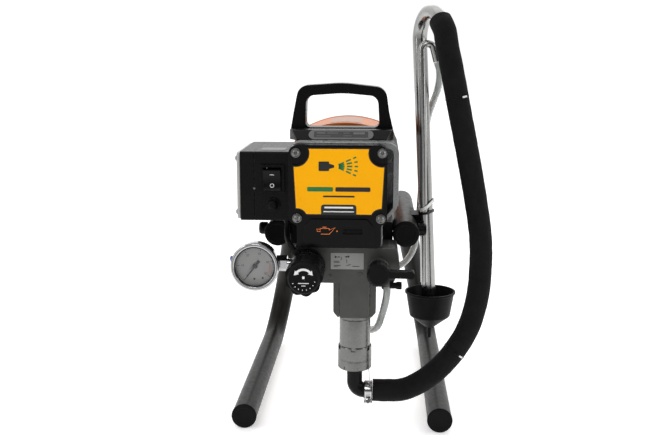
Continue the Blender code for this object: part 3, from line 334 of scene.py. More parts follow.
def extrude(axis, outline, span, holes=()):
    """A plate with holes right through it."""
    build = bmesh.new()
    loops = [outline, *holes]
    rings = [[[build.verts.new(oriented(axis, u, v, w)) for u, v in each] for each in loops] for w in span]
    flat = [[Vector((u, v, 0)) for u, v in each] for each in loops]
    triangles = tessellate_polygon(flat)
    for level in rings:
        verts = [v for each in level for v in each]
        for triangle in triangles:
            build.faces.new([verts[k] for k in triangle])
    for pair in zip(*rings):
        bridge(build, pair)
    bmesh.ops.recalc_face_normals(build, faces=build.faces)
    bmesh.ops.dissolve_limit(build, angle_limit=radians(0.2), verts=build.verts, edges=build.edges)
    return build


def block(x, y, z, radius=0.0):
    return extrude("Z", rectangle(*x, *y, radius), z)


def turn(corners, centre, axis, count=64, steps=4):
    """A turned solid from a closed list of (radius, along, corner radius)."""
    profile = rounded([(*c, 0) if len(c) == 2 else c for c in corners], steps)
    build = bmesh.new()
    rings = [
        [build.verts.new(around(axis, centre, radius, 2 * pi * k / count, along))
         for k in range(count if radius > 1e-7 else 1)]
        for radius, along in profile
    ]
    for one, other in zip(rings, rings[1:] + rings[:1]):
        if len(one) == 1 and len(other) == 1:
            continue
        for k in range(count):
            n = (k + 1) % count
            corners = [one[k % len(one)], one[n % len(one)], other[n % len(other)], other[k % len(other)]]
            build.faces.new(dict.fromkeys(corners))
    return build


def disc(radius, low, high, edge, centre, axis, inner=0.0, count=64):
    """A disc or ring with rounded outer edges."""
    corners = [(inner, low), (radius, low, edge), (radius, high, edge), (inner, high)]
    return turn(corners, centre, axis, count)


def tube(points, radius, bore=0.0, count=40, wobble=0.0):
    """A bar or pipe along a path. `wobble` makes its skin slightly uneven, as foam is."""
    build = bmesh.new()
    last = len(points) - 1
    tangents = [(points[min(i + 1, last)] - points[max(i - 1, 0)]).normalized() for i in range(last + 1)]
    side = tangents[0].orthogonal().normalized()
    skins = [[], []]
    for point, tangent in zip(points, tangents):
        side = (side - tangent * side.dot(tangent)).normalized()
        up = tangent.cross(side)
        for skin, r in zip(skins, (radius, bore)):
            if r <= 0:
                continue
            ring = []
            for k in range(count):
                out = side * cos(2 * pi * k / count) + up * sin(2 * pi * k / count)
                stand = wobble * noise.noise((point + out * r) * 90) if wobble else 0.0
                ring.append(build.verts.new(point + out * (r - abs(stand))))
            skin.append(ring)
    outer, inner = skins
    for skin in skins:
        bridge(build, skin)
    for end in (0, -1):
        if inner:
            bridge(build, (outer[end], inner[end]))
        else:
            build.faces.new(outer[end])
    return build


def loose_object(build):
    bmesh.ops.recalc_face_normals(build, faces=build.faces)
    mesh = bpy.data.meshes.new("work")
    build.to_mesh(mesh)
    build.free()
    made = bpy.data.objects.new("work", mesh)
    bpy.context.scene.collection.objects.link(made)
    return made


def combine(build, *tools, how="DIFFERENCE"):
    """Cuts, joins or intersects solids, and returns the result as a new one."""
    target, others = loose_object(build), [loose_object(tool) for tool in tools]
    for other in others:
        step = target.modifiers.new("work", "BOOLEAN")
        step.operation, step.solver, step.object = how, "EXACT", other
    graph = bpy.context.evaluated_depsgraph_get()
    made = bmesh.new()
    made.from_mesh(target.evaluated_get(graph).to_mesh())
    for each in (target, *others):
        mesh = each.data
        bpy.data.objects.remove(each)
        bpy.data.meshes.remove(mesh)
    return made


def together(*builds):
    """Several separate solids as one mesh."""
    made = bmesh.new()
    for build in builds:
        mesh = bpy.data.meshes.new("work")
        build.to_mesh(mesh)
        build.free()
        made.from_mesh(mesh)
        bpy.data.meshes.remove(mesh)
    return made


def turned_copy(build, angle, axis, centre):
    there, back = Matrix.Translation(-Vector(centre)), Matrix.Translation(centre)
    build.transform(back @ Matrix.Rotation(angle, 4, axis) @ there)
    return build


def turned_set(make, count, axis, centre, first=0.0):
    """Copies of a solid spaced evenly around an axis."""
    return [turned_copy(make(), 2 * pi * (k + first) / count, axis, centre) for k in range(count)]


def piece(name, build, look, body="machine", replaces="", edge=0.0, segments=3, angle=30):
    """A finished piece; `edge` rounds its sharp edges."""
    bmesh.ops.recalc_face_normals(build, faces=build.faces)
    build.transform(Matrix.Translation(ORIGIN))
    mesh = bpy.data.meshes.new(name)
    build.to_mesh(mesh)
    build.free()
    mesh.shade_smooth()
    mesh.materials.append(LOOKS[look])
    made = bpy.data.objects.new(name, mesh)
    bpy.context.scene.collection.objects.link(made)
    if edge:
        step = made.modifiers.new("rounded_edges", "BEVEL")
        step.width, step.segments = edge, segments
        step.limit_method, step.angle_limit = "ANGLE", radians(angle)
        step.use_clamp_overlap = True
        even = made.modifiers.new("even_shading", "WEIGHTED_NORMAL")
        even.mode, even.keep_sharp = "FACE_AREA", False
    else:
        mesh.set_sharp_from_angle(angle=radians(35))
    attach(made, body)
    if replaces:
        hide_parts(replaces)
    return made


def printed(name, outlines, y, look, body="machine"):
    """Flat marks on a surface that faces the front, standing PRINT proud of y."""
    return piece(name, together(*[extrude("Y", o, (y - PRINT, y + 0.00005)) for o in outlines]), look, body)


# ---- camera, light and floor --------------------------------------------------------------------
def floor_paint():
    """Pale matt paint, greyer in front of the machine so that bright metal has something to mirror."""
    made = finish("pale_floor", (0.9, 0.9, 0.9), 0.7, 0.0, 0.01, 2, 0.03, Specular_IOR_Level=0.2)
    tree = made.node_tree
    split = tree.nodes.new("ShaderNodeSeparateXYZ")
    tree.links.new(tree.nodes.new("ShaderNodeTexCoord").outputs["Object"], split.inputs[0])
    shade = tree.nodes.new("ShaderNodeCombineColor")
    level = spread(tree, split.outputs["Y"], 0.3, 0.92, -1.1, -0.42)
    for socket in ("Red", "Green", "Blue"):
        tree.links.new(level, shade.inputs[socket])
    shader = tree.nodes["Principled BSDF"]
    tree.links.new(shade.outputs["Color"], shader.inputs["Base Color"])
    shader.inputs["Emission Color"].default_value = (1.0, 1.0, 1.0, 1.0)
    shader.inputs["Emission Strength"].default_value = 0.42
    return made


def add_stage():
    scene = bpy.context.scene
    scene.view_settings.view_transform = "Standard"
    camera_data = bpy.data.cameras.new("camera")
    camera_data.sensor_width, camera_data.lens = 36.0, 49.76
    camera_data.clip_start = 0.01
    camera = bpy.data.objects.new("camera", camera_data)
    look_down, look_left = 10.4, 3.4
    camera.location = at(0.043, -1.008, 0.442)
    camera.rotation_euler = (radians(90 - look_down), 0, radians(look_left))
    scene.collection.objects.link(camera)
    scene.camera = camera

    floor_mesh = bpy.data.meshes.new("floor")
    half, level = 9.0, -0.0002
    corners = [(x * half, y * half, level) for x, y in ((-1, -1), (1, -1), (1, 1), (-1, 1))]
    floor_mesh.from_pydata(corners, [], [(0, 1, 2, 3)])
    floor_mesh.materials.append(floor_paint())
    floor = bpy.data.objects.new("floor", floor_mesh)
    scene.collection.objects.link(floor)

    world = bpy.data.worlds.new("studio")
    scene.world = world
    world.use_nodes = True
    tree = world.node_tree
    split = tree.nodes.new("ShaderNodeSeparateXYZ")
    tree.links.new(tree.nodes.new("ShaderNodeTexCoord").outputs["Generated"], split.inputs[0])
    product = tree.nodes.new("ShaderNodeMath")
    product.operation = "MULTIPLY"
    tree.links.new(spread(tree, split.outputs["Y"], 0.16, 1.04, -0.5, 0.6), product.inputs[0])
    tree.links.new(spread(tree, split.outputs["Z"], 1.0, 1.7, 0.12, 0.95), product.inputs[1])
    background = tree.nodes["Background"]
    background.inputs["Color"].default_value = (1.0, 1.0, 1.0, 1.0)
    tree.links.new(product.outputs["Value"], background.inputs["Strength"])

    lamps = (       # name, place, target, width, height, watts
        ("top_softbox", (0.0, -0.05, 1.6), (0.0, 0.05, 0.25), 1.5, 1.1, 2),
        ("left_softbox", (-1.25, -0.75, 0.95), (0.0, 0.0, 0.22), 0.4, 1.2, 5.5),
        ("right_softbox", (1.35, -0.55, 0.85), (0.0, 0.0, 0.22), 0.35, 1.2, 4.5),
        ("front_softbox", (-0.25, -1.85, 1.45), (0.0, 0.0, 0.22), 0.6, 0.6, 7),
        ("back_softbox", (0.2, 1.6, 1.5), (0.0, 0.0, 0.25), 1.8, 1.1, 5),
    )
    for name, place, target, width, height, power in lamps:
        light = bpy.data.lights.new(name, "AREA")
        light.shape, light.size, light.size_y, light.energy = "RECTANGLE", width, height, power
        lamp = bpy.data.objects.new(name, light)
        lamp.location = at(*place)
        lamp.rotation_euler = (at(*target) - lamp.location).to_track_quat("-Z", "Y").to_euler()
        scene.collection.objects.link(lamp)


# ---- hoses --------------------------------------------------------------------------------------
def suction_axis(z):
    top, foot = (0.0865, 0.456), (0.1028, 0.152)
    share = (z - foot[1]) / (top[1] - foot[1])
    return Vector((foot[0] + (top[0] - foot[0]) * share, SUCTION_Y, z))


def siphon_arch(count):
    """The arch over the top of the suction tube."""
    reach, heading, top = 0.03, Vector((0.37, -0.929, 0)), suction_axis(0.456)
    return [
        top + heading * reach * (1 - cos(a)) + Vector((0, 0, reach * sin(a)))
        for a in (radians(140) * k / count for k in range(1, count + 1))
    ]


def hook_path(count):
    top, foot, bend = Vector((0.0885, RETURN_Y, 0.444)), Vector((0.0962, RETURN_Y, 0.174)), 0.0068
    hook = [
        top + Vector((bend * (1 - cos(a)), 0, bend * sin(a)))
        for a in (radians(165) * k / count for k in range(1, count + 1))
    ]
    drop = Vector((0.26, 0, -0.966))
    return [foot, top, *hook, hook[-1] + drop * 0.0155], drop


def add_hoses():
    arch = siphon_arch(10)
    mouth, way = arch[-1], (arch[-1] - arch[-2]).normalized()
    start = Vector((0.0368, PUMP.y, ELBOW_Z))
    suction = smooth_path([
        start, (0.052, PUMP.y, ELBOW_Z), (0.072, -0.0345, 0.0668), (0.0925, -0.032, 0.076),
        (0.114, -0.029, 0.0935), (0.132, -0.026, 0.116), (0.145, -0.023, 0.141),
        (0.153, -0.0205, 0.172), (0.1555, -0.019, 0.206), (0.1545, -0.018, 0.24),
        (0.1475, -0.0175, 0.285), (0.1375, -0.017, 0.335), (0.1275, -0.0165, 0.382),
        (0.1195, -0.016, 0.42), (0.1135, -0.012, 0.448), mouth + way * 0.0162, mouth + way * 0.001,
    ], 150)
    sleeve = piece("foam_sleeve", tube(suction, HOSE_R, 0.0, 48, 0.0005), "foam", replaces="suction_hose")
    ties = []
    for number, (x, z) in enumerate(((0.125, 0.394), (0.127, 0.1095)), 1):
        near = min(range(len(suction)), key=lambda i: (suction[i].x - x) ** 2 + (suction[i].z - z) ** 2)
        way_here = suction[near + 1] - suction[near - 1]
        ties += add_tie(f"sleeve_tie_{number}", suction[near], way_here, HOSE_R)

    hook, drop = hook_path(6)
    tail = hook[-1]
    drain = smooth_path([
        (0.0515, -0.049, 0.1896), (0.0513, -0.0487, 0.179), (0.047, -0.038, 0.156),
        (0.04, -0.015, 0.132), (0.027, 0.015, 0.122), (0.015, 0.052, 0.125),
        (0.018, 0.09, 0.141), (0.035, 0.12, 0.155), (0.057, 0.14, 0.162),
        (0.0765, 0.149, 0.1715), (0.0875, 0.1515, 0.189), (0.0915, 0.15, 0.212),
        (0.0938, 0.144, 0.24), (0.095, 0.137, 0.275),
        (0.0955, 0.12, 0.32), (0.0995, 0.085, 0.365), (0.108, 0.048, 0.4),
        tail + drop * 0.012, tail + drop * 0.0006,
    ], 150)
    hose = piece("clear_drain_hose", tube(drain, DRAIN_R, DRAIN_R - 0.0011, 24), "vinyl",
                 replaces="drain_hose")


def ring_around(point, way, profile, count=48, turned=0.0, share=1.0):
    """A ring of the closed (out, along) profile around an axis, whole or a part of it."""
    build = bmesh.new()
    way = way.normalized()
    side = way.orthogonal().normalized()
    up = way.cross(side)
    whole = share >= 1
    rings = []
    for k in range(count + (0 if whole else 1)):
        angle = turned + 2 * pi * share * k / count
        out = side * cos(angle) + up * sin(angle)
        rings.append([build.verts.new(point + out * r + way * a) for r, a in profile])
    bridge(build, rings + rings[:1] if whole else rings)
    if not whole:
        build.faces.new(rings[0])
        build.faces.new(rings[-1])
    return build


def add_tie(name, point, way, radius):
    """A thin plastic tie pulled tight into the sleeve, with its pale clasp towards the front."""
    way = way.normalized()
    band = rectangle(radius - 0.001, radius + 0.0003, -0.001, 0.001, 0.0003, 2)
    pieces = [piece(name, ring_around(point, way, band), "black")]
    side = way.orthogonal().normalized()
    front = atan2(-way.cross(side).y, -side.y)
    clasp = rectangle(radius - 0.0004, radius + 0.0007, -0.001, 0.001, 0.0003, 2)
    made = ring_around(point, way, clasp, 8, front + radians(22), 0.07)
    pieces.append(piece(f"{name}_clasp", made, "strap_white"))
    return pieces


# ---- skid frame ---------------------------------------------------------------------------------
def add_frame(side, sign):
    corners = [
        (sign * UPPER_X, -0.006, UPPER_Z), (sign * UPPER_X, 0.25, UPPER_Z),
        (sign * RUNNER_X, 0.4, CAP_R), (sign * RUNNER_X, 0.003, CAP_R),
    ]
    path = fillet_path(corners, BEND_R, 16)
    piece(f"skid_tube_{side}", tube(path, TUBE_R, TUBE_R - TUBE_WALL, 56), "tube_paint",
          replaces=f"frame_tube_{side}")
    plug = TUBE_R - TUBE_WALL - 0.001
    for end, centre in (("top", corners[0]), ("foot", corners[-1])):
        cap = turn([
            (0, -0.0026), (0.0098, -0.0026, 0.0003), (0.0103, -0.003, 0.0003), (CAP_R, -0.003, 0.0012),
            (CAP_R, -GAP, 0.0003), (plug + 0.0008, -GAP), (plug + 0.0008, 0.0015), (plug, 0.002),
            (plug, 0.012, 0.001), (0, 0.012),
        ], centre, "Y", 72)
        piece(f"{end}_plug_{side}", cap, "black_matt", replaces=f"{end}_cap_{side}")
    inner = {1: 0.0463, -1: 0.0443}[sign]
    near, far = sorted((sign * inner, sign * (UPPER_X - TUBE_R - GAP)))
    block_outline = rectangle(near, far, 0.2268, 0.253, 0.002)
    piece(f"frame_bracket_{side}", extrude("Y", block_outline, (-0.005, 0.062)), "black_matt",
          replaces=f"bracket_{side}", edge=0.001)
    start = sign * (UPPER_X + TUBE_R + GAP)
    head = turn([
        (0, 0), (0.0072, 0), (0.0072, sign * 0.007, 0.0006), (0.006, sign * 0.0095, 0.0012),
        (0, sign * 0.0095),
    ], (start, 0.02, UPPER_Z), "X", 48)
    socket = extrude("X", circle(0.02, UPPER_Z, 0.0031, 6), (start + sign * 0.0045, start + sign * 0.011))
    piece(f"frame_bolt_head_{side}", combine(head, socket), "black", replaces=f"frame_bolt_{side}")


# ---- drive housing, cover and handle ------------------------------------------------------------
def housing_outline(inset, steps=8):
    left, right, top, bottom = -0.0535 + inset, 0.061 - inset, 0.3455 - inset, 0.2362 + inset
    foot_left, foot_right = -0.044 + inset, 0.046 - inset
    corner = 0.01 - inset
    return rounded([
        (foot_left, bottom, 0.003), (foot_right, bottom, 0.003), (foot_right, 0.259, 0.004),
        (right, 0.278, 0.006), (right, top, corner), (left, top, corner),
        (left, 0.278, 0.006), (foot_left, 0.259, 0.004),
    ], steps)


def add_housing():
    """The cast gear housing, with its rear wall, bearing web and outside ribs."""
    shell = extrude("Y", housing_outline(0), HOUSING_Y, [housing_outline(0.004)])
    wall = extrude("Y", housing_outline(0.002), (HOUSING_Y[1] - 0.0045, HOUSING_Y[1]),
                   [circle(0, MOTOR_Z, 0.0114)])
    web = extrude("Y", housing_outline(0.002), (-0.006, 0.004),
                  [circle(PUMP.x, 0.29, 0.013), circle(-0.0225, 0.29008, 0.0038)])
    shell = combine(shell, wall, web, how="UNION")
    outside = []
    for low, high in ((-0.056, -0.05), (-0.03, -0.0265), (-0.006, -0.0025), (0.018, 0.0215),
                      (0.042, 0.0455), (0.074, 0.082)):
        rib = extrude("Y", housing_outline(-0.0017), (low, high), [housing_outline(0.002)])
        outside.append(combine(rib, block((-0.05, 0.07), (-0.07, 0.09), (0.28, 0.36)),
                               how="INTERSECT"))
    shell = combine(shell, *outside, how="UNION")
    rod_hole = turn([(0, 0.225), (0.0138, 0.225), (0.0138, 0.2425), (0, 0.2425)], PUMP, "Z", 48)
    piece("gear_housing", combine(shell, rod_hole), "cast", replaces="drive_housing", edge=0.0007,
          segments=2, angle=40)


def cover_outline(inset, steps=8):
    half, low_half, corner = 0.053 - inset, 0.0445 - inset, 0.009 - inset
    right = half - 0.0025
    bottom, shoulder, top = 0.2375 + inset, 0.2655 + inset, 0.3465 - inset
    return rounded([
        (-low_half, bottom, 0.005), (low_half, bottom, 0.005), (low_half, shoulder - 0.004, 0.003),
        (right, shoulder, 0.006), (right, top, corner), (-half, top, corner), (-half, shoulder, 0.006),
        (-low_half, shoulder - 0.004, 0.003),
    ], steps)


def panel_outline(grow=0.0, count=14):
    """The face panel, whose corners curve in around the four screws."""
    low, high, top_half, low_half = 0.2745 - grow, 0.343 + grow, 0.047 + grow, 0.0447 + grow
    right = []
    for (x, z), edge_x, edge_z, scoop, rising in (
        (SCREW_XZ[3], low_half, low, 0.0112 - grow, 1), (SCREW_XZ[1], top_half, high, 0.0145 - grow, -1),
    ):
        on_edge = atan2(edge_z - z, -sqrt(scoop**2 - (edge_z - z) ** 2))
        on_side = atan2(rising * sqrt(scoop**2 - (edge_x - x) ** 2), edge_x - x)
        turn_by = (on_side - on_edge + pi) % (2 * pi) - pi
        points = [
            (x + scoop * cos(a), z + scoop * sin(a))
            for a in (on_edge + turn_by * k / count for k in range(count + 1))
        ]
        right += points if rising > 0 else points[::-1]
    return right + [(-x, z) for x, z in reversed(right)]


def add_cover():
    """The moulded front cover: raised middle, screw pockets, and a lower bay with a slot."""
    top = COVER_Y[0]
    base = extrude("Y", cover_outline(0), (top + 0.0035, COVER_Y[1]), [cover_outline(0.003)])
    face = extrude("Y", cover_outline(0.0001), (top + 0.0035, top + 0.006))
    raised = extrude("Y", panel_outline(0.0022), (top, top + 0.005))
    bay = extrude("Y", rounded([
        (-0.0385, 0.242, 0.004), (0.0385, 0.242, 0.004), (0.036, 0.261, 0.004), (0.03, 0.2685, 0.004),
        (-0.03, 0.2685, 0.004), (-0.036, 0.261, 0.004),
    ]), (top + 0.0002, top + 0.005))
    solid = combine(base, face, raised, bay, how="UNION")
    slot_cut = extrude("Y", rectangle(0.004, 0.0255, 0.253, 0.261, 0.002), (top - 0.002, top + 0.003))
    holes = [
        turn([(0, -0.01), (0.0043, -0.01), (0.0043, 0.0006), (0.0023, 0.0006), (0.0023, 0.02), (0, 0.02)],
             (x, top + 0.0035, z), "Y", 32)
        for x, z in SCREW_XZ
    ]
    piece("cover_moulding", combine(solid, slot_cut, *holes), "black_gloss", replaces="front_cover",
          edge=0.001, segments=3, angle=40)
    lid = extrude("Y", rounded([
        (0.0062, 0.2533, 0.001), (0.0233, 0.2533, 0.001), (0.025, 0.2572, 0.001), (0.0045, 0.2572, 0.001),
    ]), (top + 0.0012, top + 0.0034))
    piece("slot_flap", lid, "black_matt", edge=0.0004)

    film = top - GAP - 0.0008
    panel = extrude("Y", panel_outline(), (film, top - GAP))
    piece("panel_film", panel, "yellow", replaces="face_panel", edge=0.0002, segments=2)
    border = extrude("Y", panel_outline(0.0009), (film + 0.0003, top - GAP + 0.0001), [panel_outline(0.0)])
    piece("panel_border", border, "ink")
    add_panel_print(film)
    add_cover_screws(top)


def add_panel_print(y):
    """A generic mark: a nozzle and its fan of spray, over plain bars in place of any words."""
    nozzle = [
        rounded([(-0.021, 0.32, 0.001), (-0.01, 0.32, 0.001), (-0.01, 0.33, 0.001),
                 (-0.021, 0.33, 0.001)], 4),
        [(-0.01, 0.3222), (-0.0048, 0.3238), (-0.0048, 0.3262), (-0.01, 0.3278)],
    ]
    printed("panel_mark_nozzle", nozzle, y, "ink")
    rays = []
    for angle in (-24, -12, 0, 12, 24):
        way = Vector((cos(radians(angle)), sin(radians(angle))))
        start = Vector((-0.004, 0.325)) + way * 0.004
        for first, last in ((0.0, 0.006), (0.0085, 0.014), (0.0165, 0.02)):
            rays.append(stroke([start + way * first, start + way * last], 0.0016))
    printed("panel_mark_spray", rays, y, "green")
    printed("panel_bar_green", [rectangle(-0.033, -0.006, 0.2985, 0.3032, 0.0012)], y, "green")
    printed("panel_bar_black", [rectangle(-0.0035, 0.033, 0.2985, 0.3032, 0.0012),
                                rectangle(-0.0165, 0.0165, 0.2925, 0.2943, 0.0006)], y, "ink")
    printed("panel_badge", [rounded([(-0.0185, 0.2745, 0), (0.0185, 0.2745, 0), (0.0185, 0.2848, 0.003),
                                     (-0.0185, 0.2848, 0.003)])], y, "ink")
    printed("panel_badge_lines", [rectangle(-0.015, 0.015, 0.2808, 0.2826, 0.0005),
                                  rectangle(-0.016, 0.016, 0.2768, 0.2778, 0.0003)], y - PRINT, "white")
    oil = [
        stroke([(-0.02, 0.259), (-0.01, 0.259), (-0.01, 0.2575), (-0.0035, 0.26),
                (-0.01, 0.253), (-0.019, 0.253)], 0.0008, True),
        stroke([(-0.019, 0.2575), (-0.0232, 0.2585), (-0.0225, 0.2558), (-0.0192, 0.2558)], 0.0007),
        stroke([(-0.015, 0.2592), (-0.015, 0.2604)], 0.0008),
        stroke([(-0.0172, 0.2604), (-0.0128, 0.2604)], 0.0007), circle(-0.0018, 0.2562, 0.0007, 16),
    ]
    printed("oil_pictogram", oil, COVER_Y[0] + 0.0002, "amber")


def add_cover_screws(top):
    for number, (x, z) in enumerate(SCREW_XZ, 1):
        seat = top - GAP
        head = turn([(0, -0.0026), (0.002, -0.0026, 0.0008), (0.0038, -0.0012, 0.0008),
                     (0.0038, 0.0, 0.0003),
                     (0.002, 0.0), (0.002, 0.012), (0, 0.012)], (x, seat, z), "Y", 40)
        cross = [
            extrude("Y", rectangle(x - a, x + a, z - b, z + b), (seat - 0.004, seat - 0.0012))
            for a, b in ((0.0019, 0.00035), (0.00035, 0.0019))
        ]
        head = combine(head, *[turned_copy(c, radians(20 + 35 * number), "Y", (x, seat, z)) for c in cross])
        piece(f"pan_screw_{number}", head, "steel_y", replaces=f"cover_screw_{number}")
        washer = disc(0.005, 0.0004, 0.0012, 0.0003, (x, top, z), "Y", 0.0024)
        piece(f"screw_washer_{number}", washer, "steel_y")


def add_handle():
    outer = rounded([
        (-0.0605, 0.348, 0.002), (0.0585, 0.348, 0.002), (0.0525, 0.374, 0.03), (0.0485, 0.402, 0.014),
        (0.0, 0.4075, 0.12), (-0.05, 0.404, 0.013), (-0.056, 0.374, 0.03),
    ], 10)
    window = rounded([
        (-0.0425, 0.3575, 0.006), (0.0415, 0.3575, 0.006), (0.0395, 0.3925, 0.01), (0.0, 0.396, 0.12),
        (-0.0415, 0.393, 0.01),
    ], 10)
    grip = extrude("Y", outer, (0.018, 0.042), [window])
    side = rounded([
        (-0.018, 0.3458, 0.001), (0.066, 0.3458, 0.001), (0.06, 0.3555, 0.003), (-0.006, 0.3568, 0.004),
    ])
    saddle = extrude("X", side, (-0.0585, 0.057))
    trims = [
        extrude("Z", [(s * 0.042, -0.03), (s * 0.062, -0.03), (s * 0.062, 0.006)], (0.34, 0.362))
        for s in (-1, 1)
    ]
    handle = combine(combine(grip, saddle, how="UNION"), *trims)
    piece("handle_moulding", handle, "black", replaces="carry_handle", edge=0.003, segments=4, angle=42)

    slope = Vector((-0.012, 0.3513))           # middle of the saddle's front slope, in Y and Z
    tilt = -radians(47)
    capsule = extrude("Y", rectangle(-0.0365, 0.0352, -0.0072, 0.0072, 0.0071, 8), (-0.0007, 0.0004))
    inset = extrude("Y", rectangle(-0.0305, 0.0292, -0.0043, 0.0043, 0.0008), (-0.0009, -0.0006))
    lines = together(*[
        extrude("Y", rectangle(x0, x1, z0, z1, 0.0002, 2), (-0.001, -0.0008))
        for x0, x1, z0, z1 in (
            (-0.0275, -0.018, 0.001, 0.0026), (-0.016, -0.004, 0.0012, 0.0022),
            (-0.0275, -0.012, -0.003, -0.0022),
            (0.002, 0.011, -0.0028, -0.002), (0.013, 0.0255, 0.0000, 0.003),
            (0.002, 0.009, 0.0014, 0.0022),
        )
    ])
    for name, build, look, edge in (("saddle_plate", capsule, "grey_film", 0.0003),
                                    ("saddle_label", inset, "dark_film", 0.0),
                                    ("saddle_label_lines", lines, "grey_film", 0.0)):
        shift = Matrix.Translation((0, slope.x - 0.0004, slope.y + 0.0004))
        build.transform(shift @ Matrix.Rotation(tilt, 4, "X"))
        piece(name, build, look, edge=edge)


# ---- motor --------------------------------------------------------------------------------------
def motor_outline(inset):
    """Rounded below, with a shallow crown on top."""
    half, low, rise = 0.062 - inset, 0.245 + inset, radians(23)
    tip = 0.3674 - inset / cos(rise)
    shoulder = tip - half * tan(rise)
    return rounded([
        (-half, low, 0.045 - inset), (half, low, 0.045 - inset), (half, shoulder, 0.02 - inset),
        (0.0, tip, 0.115 - inset), (-half, shoulder, 0.02 - inset),
    ], 14)


def add_motor():
    shell = extrude("Y", motor_outline(0), MOTOR_Y, [motor_outline(0.0025)])
    vents = [
        extrude("X", rectangle(y - 0.0014, y + 0.0014, 0.287, 0.323, 0.0013), (-0.07, 0.07))
        for y in (0.168, 0.175, 0.182, 0.189)
    ]
    piece("motor_jacket", combine(shell, *vents), "orange", replaces="motor_shell", edge=0.0006,
          segments=2, angle=40)
    bands = together(*[
        extrude("Y", motor_outline(-0.0005), (y, y + 0.004), [motor_outline(0.0005)])
        for y in (0.083, 0.2)
    ])
    wall = extrude("Y", motor_outline(0.0006), (MOTOR_Y[0] + 0.0005, MOTOR_Y[0] + 0.003),
                   [circle(0, MOTOR_Z, 0.03)])
    piece("motor_front_wall", wall, "orange", edge=0.0005, segments=2)
    piece("motor_bands", bands, "orange", edge=0.0003, segments=2, angle=40)
    crown = [radians(9.5 * k / 12) for k in range(-12, 13)]
    over, under = [
        [(r * sin(a), 0.3575 - 0.115 + r * cos(a)) for a in crown] for r in (0.1152, 0.1148)
    ]
    label = extrude("Y", over + under[::-1], (0.1, 0.19))
    piece("motor_label", label, "warm_film")
    back = MOTOR_Y[1] + GAP
    cover = extrude("Y", motor_outline(0), (back, back + 0.013))
    slots = [
        extrude("Y", rectangle(-0.03, 0.03, z - 0.0016, z + 0.0016, 0.0015),
                (back + 0.0085, back + 0.02))
        for z in (0.278, 0.286, 0.294, 0.302, 0.31, 0.318, 0.326, 0.334)
    ]
    hollow = extrude("Y", motor_outline(0.01), (back - 0.001, back + 0.0085))
    piece("motor_fan_cover", combine(cover, hollow, *slots), "black_matt", replaces="motor_end_cover",
          edge=0.0016, segments=3, angle=50)
    for number, (x, z) in enumerate(((-0.045, 0.275), (0.045, 0.275), (-0.045, 0.335), (0.045, 0.335)), 1):
        head = turn([(0, 0), (0.003, 0), (0.003, 0.0012, 0.0006), (0.0016, 0.002, 0.0006), (0, 0.002)],
                    (x, back + 0.0126, z), "Y", 32)
        slot = extrude("Y", rectangle(x - 0.0035, x + 0.0035, z - 0.0004, z + 0.0004),
                       (back + 0.0138, back + 0.02))
        piece(f"fan_cover_screw_{number}", combine(head, slot), "steel_y")


# ---- control box --------------------------------------------------------------------------------
def add_control_box():
    """Two folded sheet shells that meet at a seam, with the end plate, rocker, button and gland."""
    sheet = 0.0015
    outline = rectangle(*BOX_Y, *BOX_Z, 0.002)
    inside = rectangle(BOX_Y[0] + sheet, BOX_Y[1] - sheet, BOX_Z[0] + sheet, BOX_Z[1] - sheet, 0.001)
    body = combine(extrude("X", outline, (BOX_SEAM_X, BOX_X[1])),
                   extrude("X", inside, (BOX_SEAM_X - 0.001, BOX_X[1] - sheet)))
    front = (BOX_Y[0] - 0.005, BOX_Y[0] + 0.005)
    x, z = SWITCH
    cuts = [
        extrude("Y", rectangle(x - 0.0118, x + 0.0118, z - 0.0138, z + 0.0138, 0.001), front),
        extrude("Y", circle(*BUTTON, 0.0058), front),
        extrude("Y", circle(*GLAND, 0.0068), (BOX_Y[1] - 0.005, BOX_Y[1] + 0.005)),
    ]
    piece("box_shell", combine(body, *cuts), "box", replaces="control_box", edge=0.0004, segments=2,
          angle=40)
    seam = BOX_SEAM_X - GAP
    lid = combine(extrude("X", outline, (BOX_X[0], seam)),
                  extrude("X", inside, (BOX_X[0] + sheet, seam + 0.001)))
    piece("box_lid", lid, "box", replaces="box_cover", edge=0.0005, segments=2, angle=40)
    end = rectangle(BOX_Y[0] + 0.003, BOX_Y[1] - 0.002, BOX_Z[0] + 0.001, BOX_Z[1] - 0.001, 0.003)
    piece("box_side_plate", extrude("X", end, (BOX_X[0] - 0.004, BOX_X[0] - GAP)), "plate",
          replaces="box_end_plate", edge=0.0008)
    screws = []
    for y in (BOX_Y[0] + 0.0095, BOX_Y[1] - 0.0095):
        for height in (0.269, 0.328):
            screws.append(turn([(0, 0.0002), (0.0036, 0.0002), (0.0034, -0.0008, 0.0003),
                                (0.002, -0.0021, 0.0006),
                                (0, -0.0023)], (BOX_X[0] - 0.004, y, height), "X", 32))
    piece("box_side_screws", together(*screws), "steel")
    seam_screw = turn([(0, 0), (0.0016, 0), (0.0013, -0.0009, 0.0003), (0, -0.001)],
                      (BOX_SEAM_X, BOX_Y[0], 0.2965), "Y", 24)
    piece("box_seam_screw", seam_screw, "steel_y")
    plate_top = extrude("Z", rectangle(-0.088, -0.061, -0.03, -0.006, 0.001),
                        (BOX_Z[1], BOX_Z[1] + PRINT * 2))
    piece("box_top_label", plate_top, "grey_film")
    add_switch()
    add_gland()


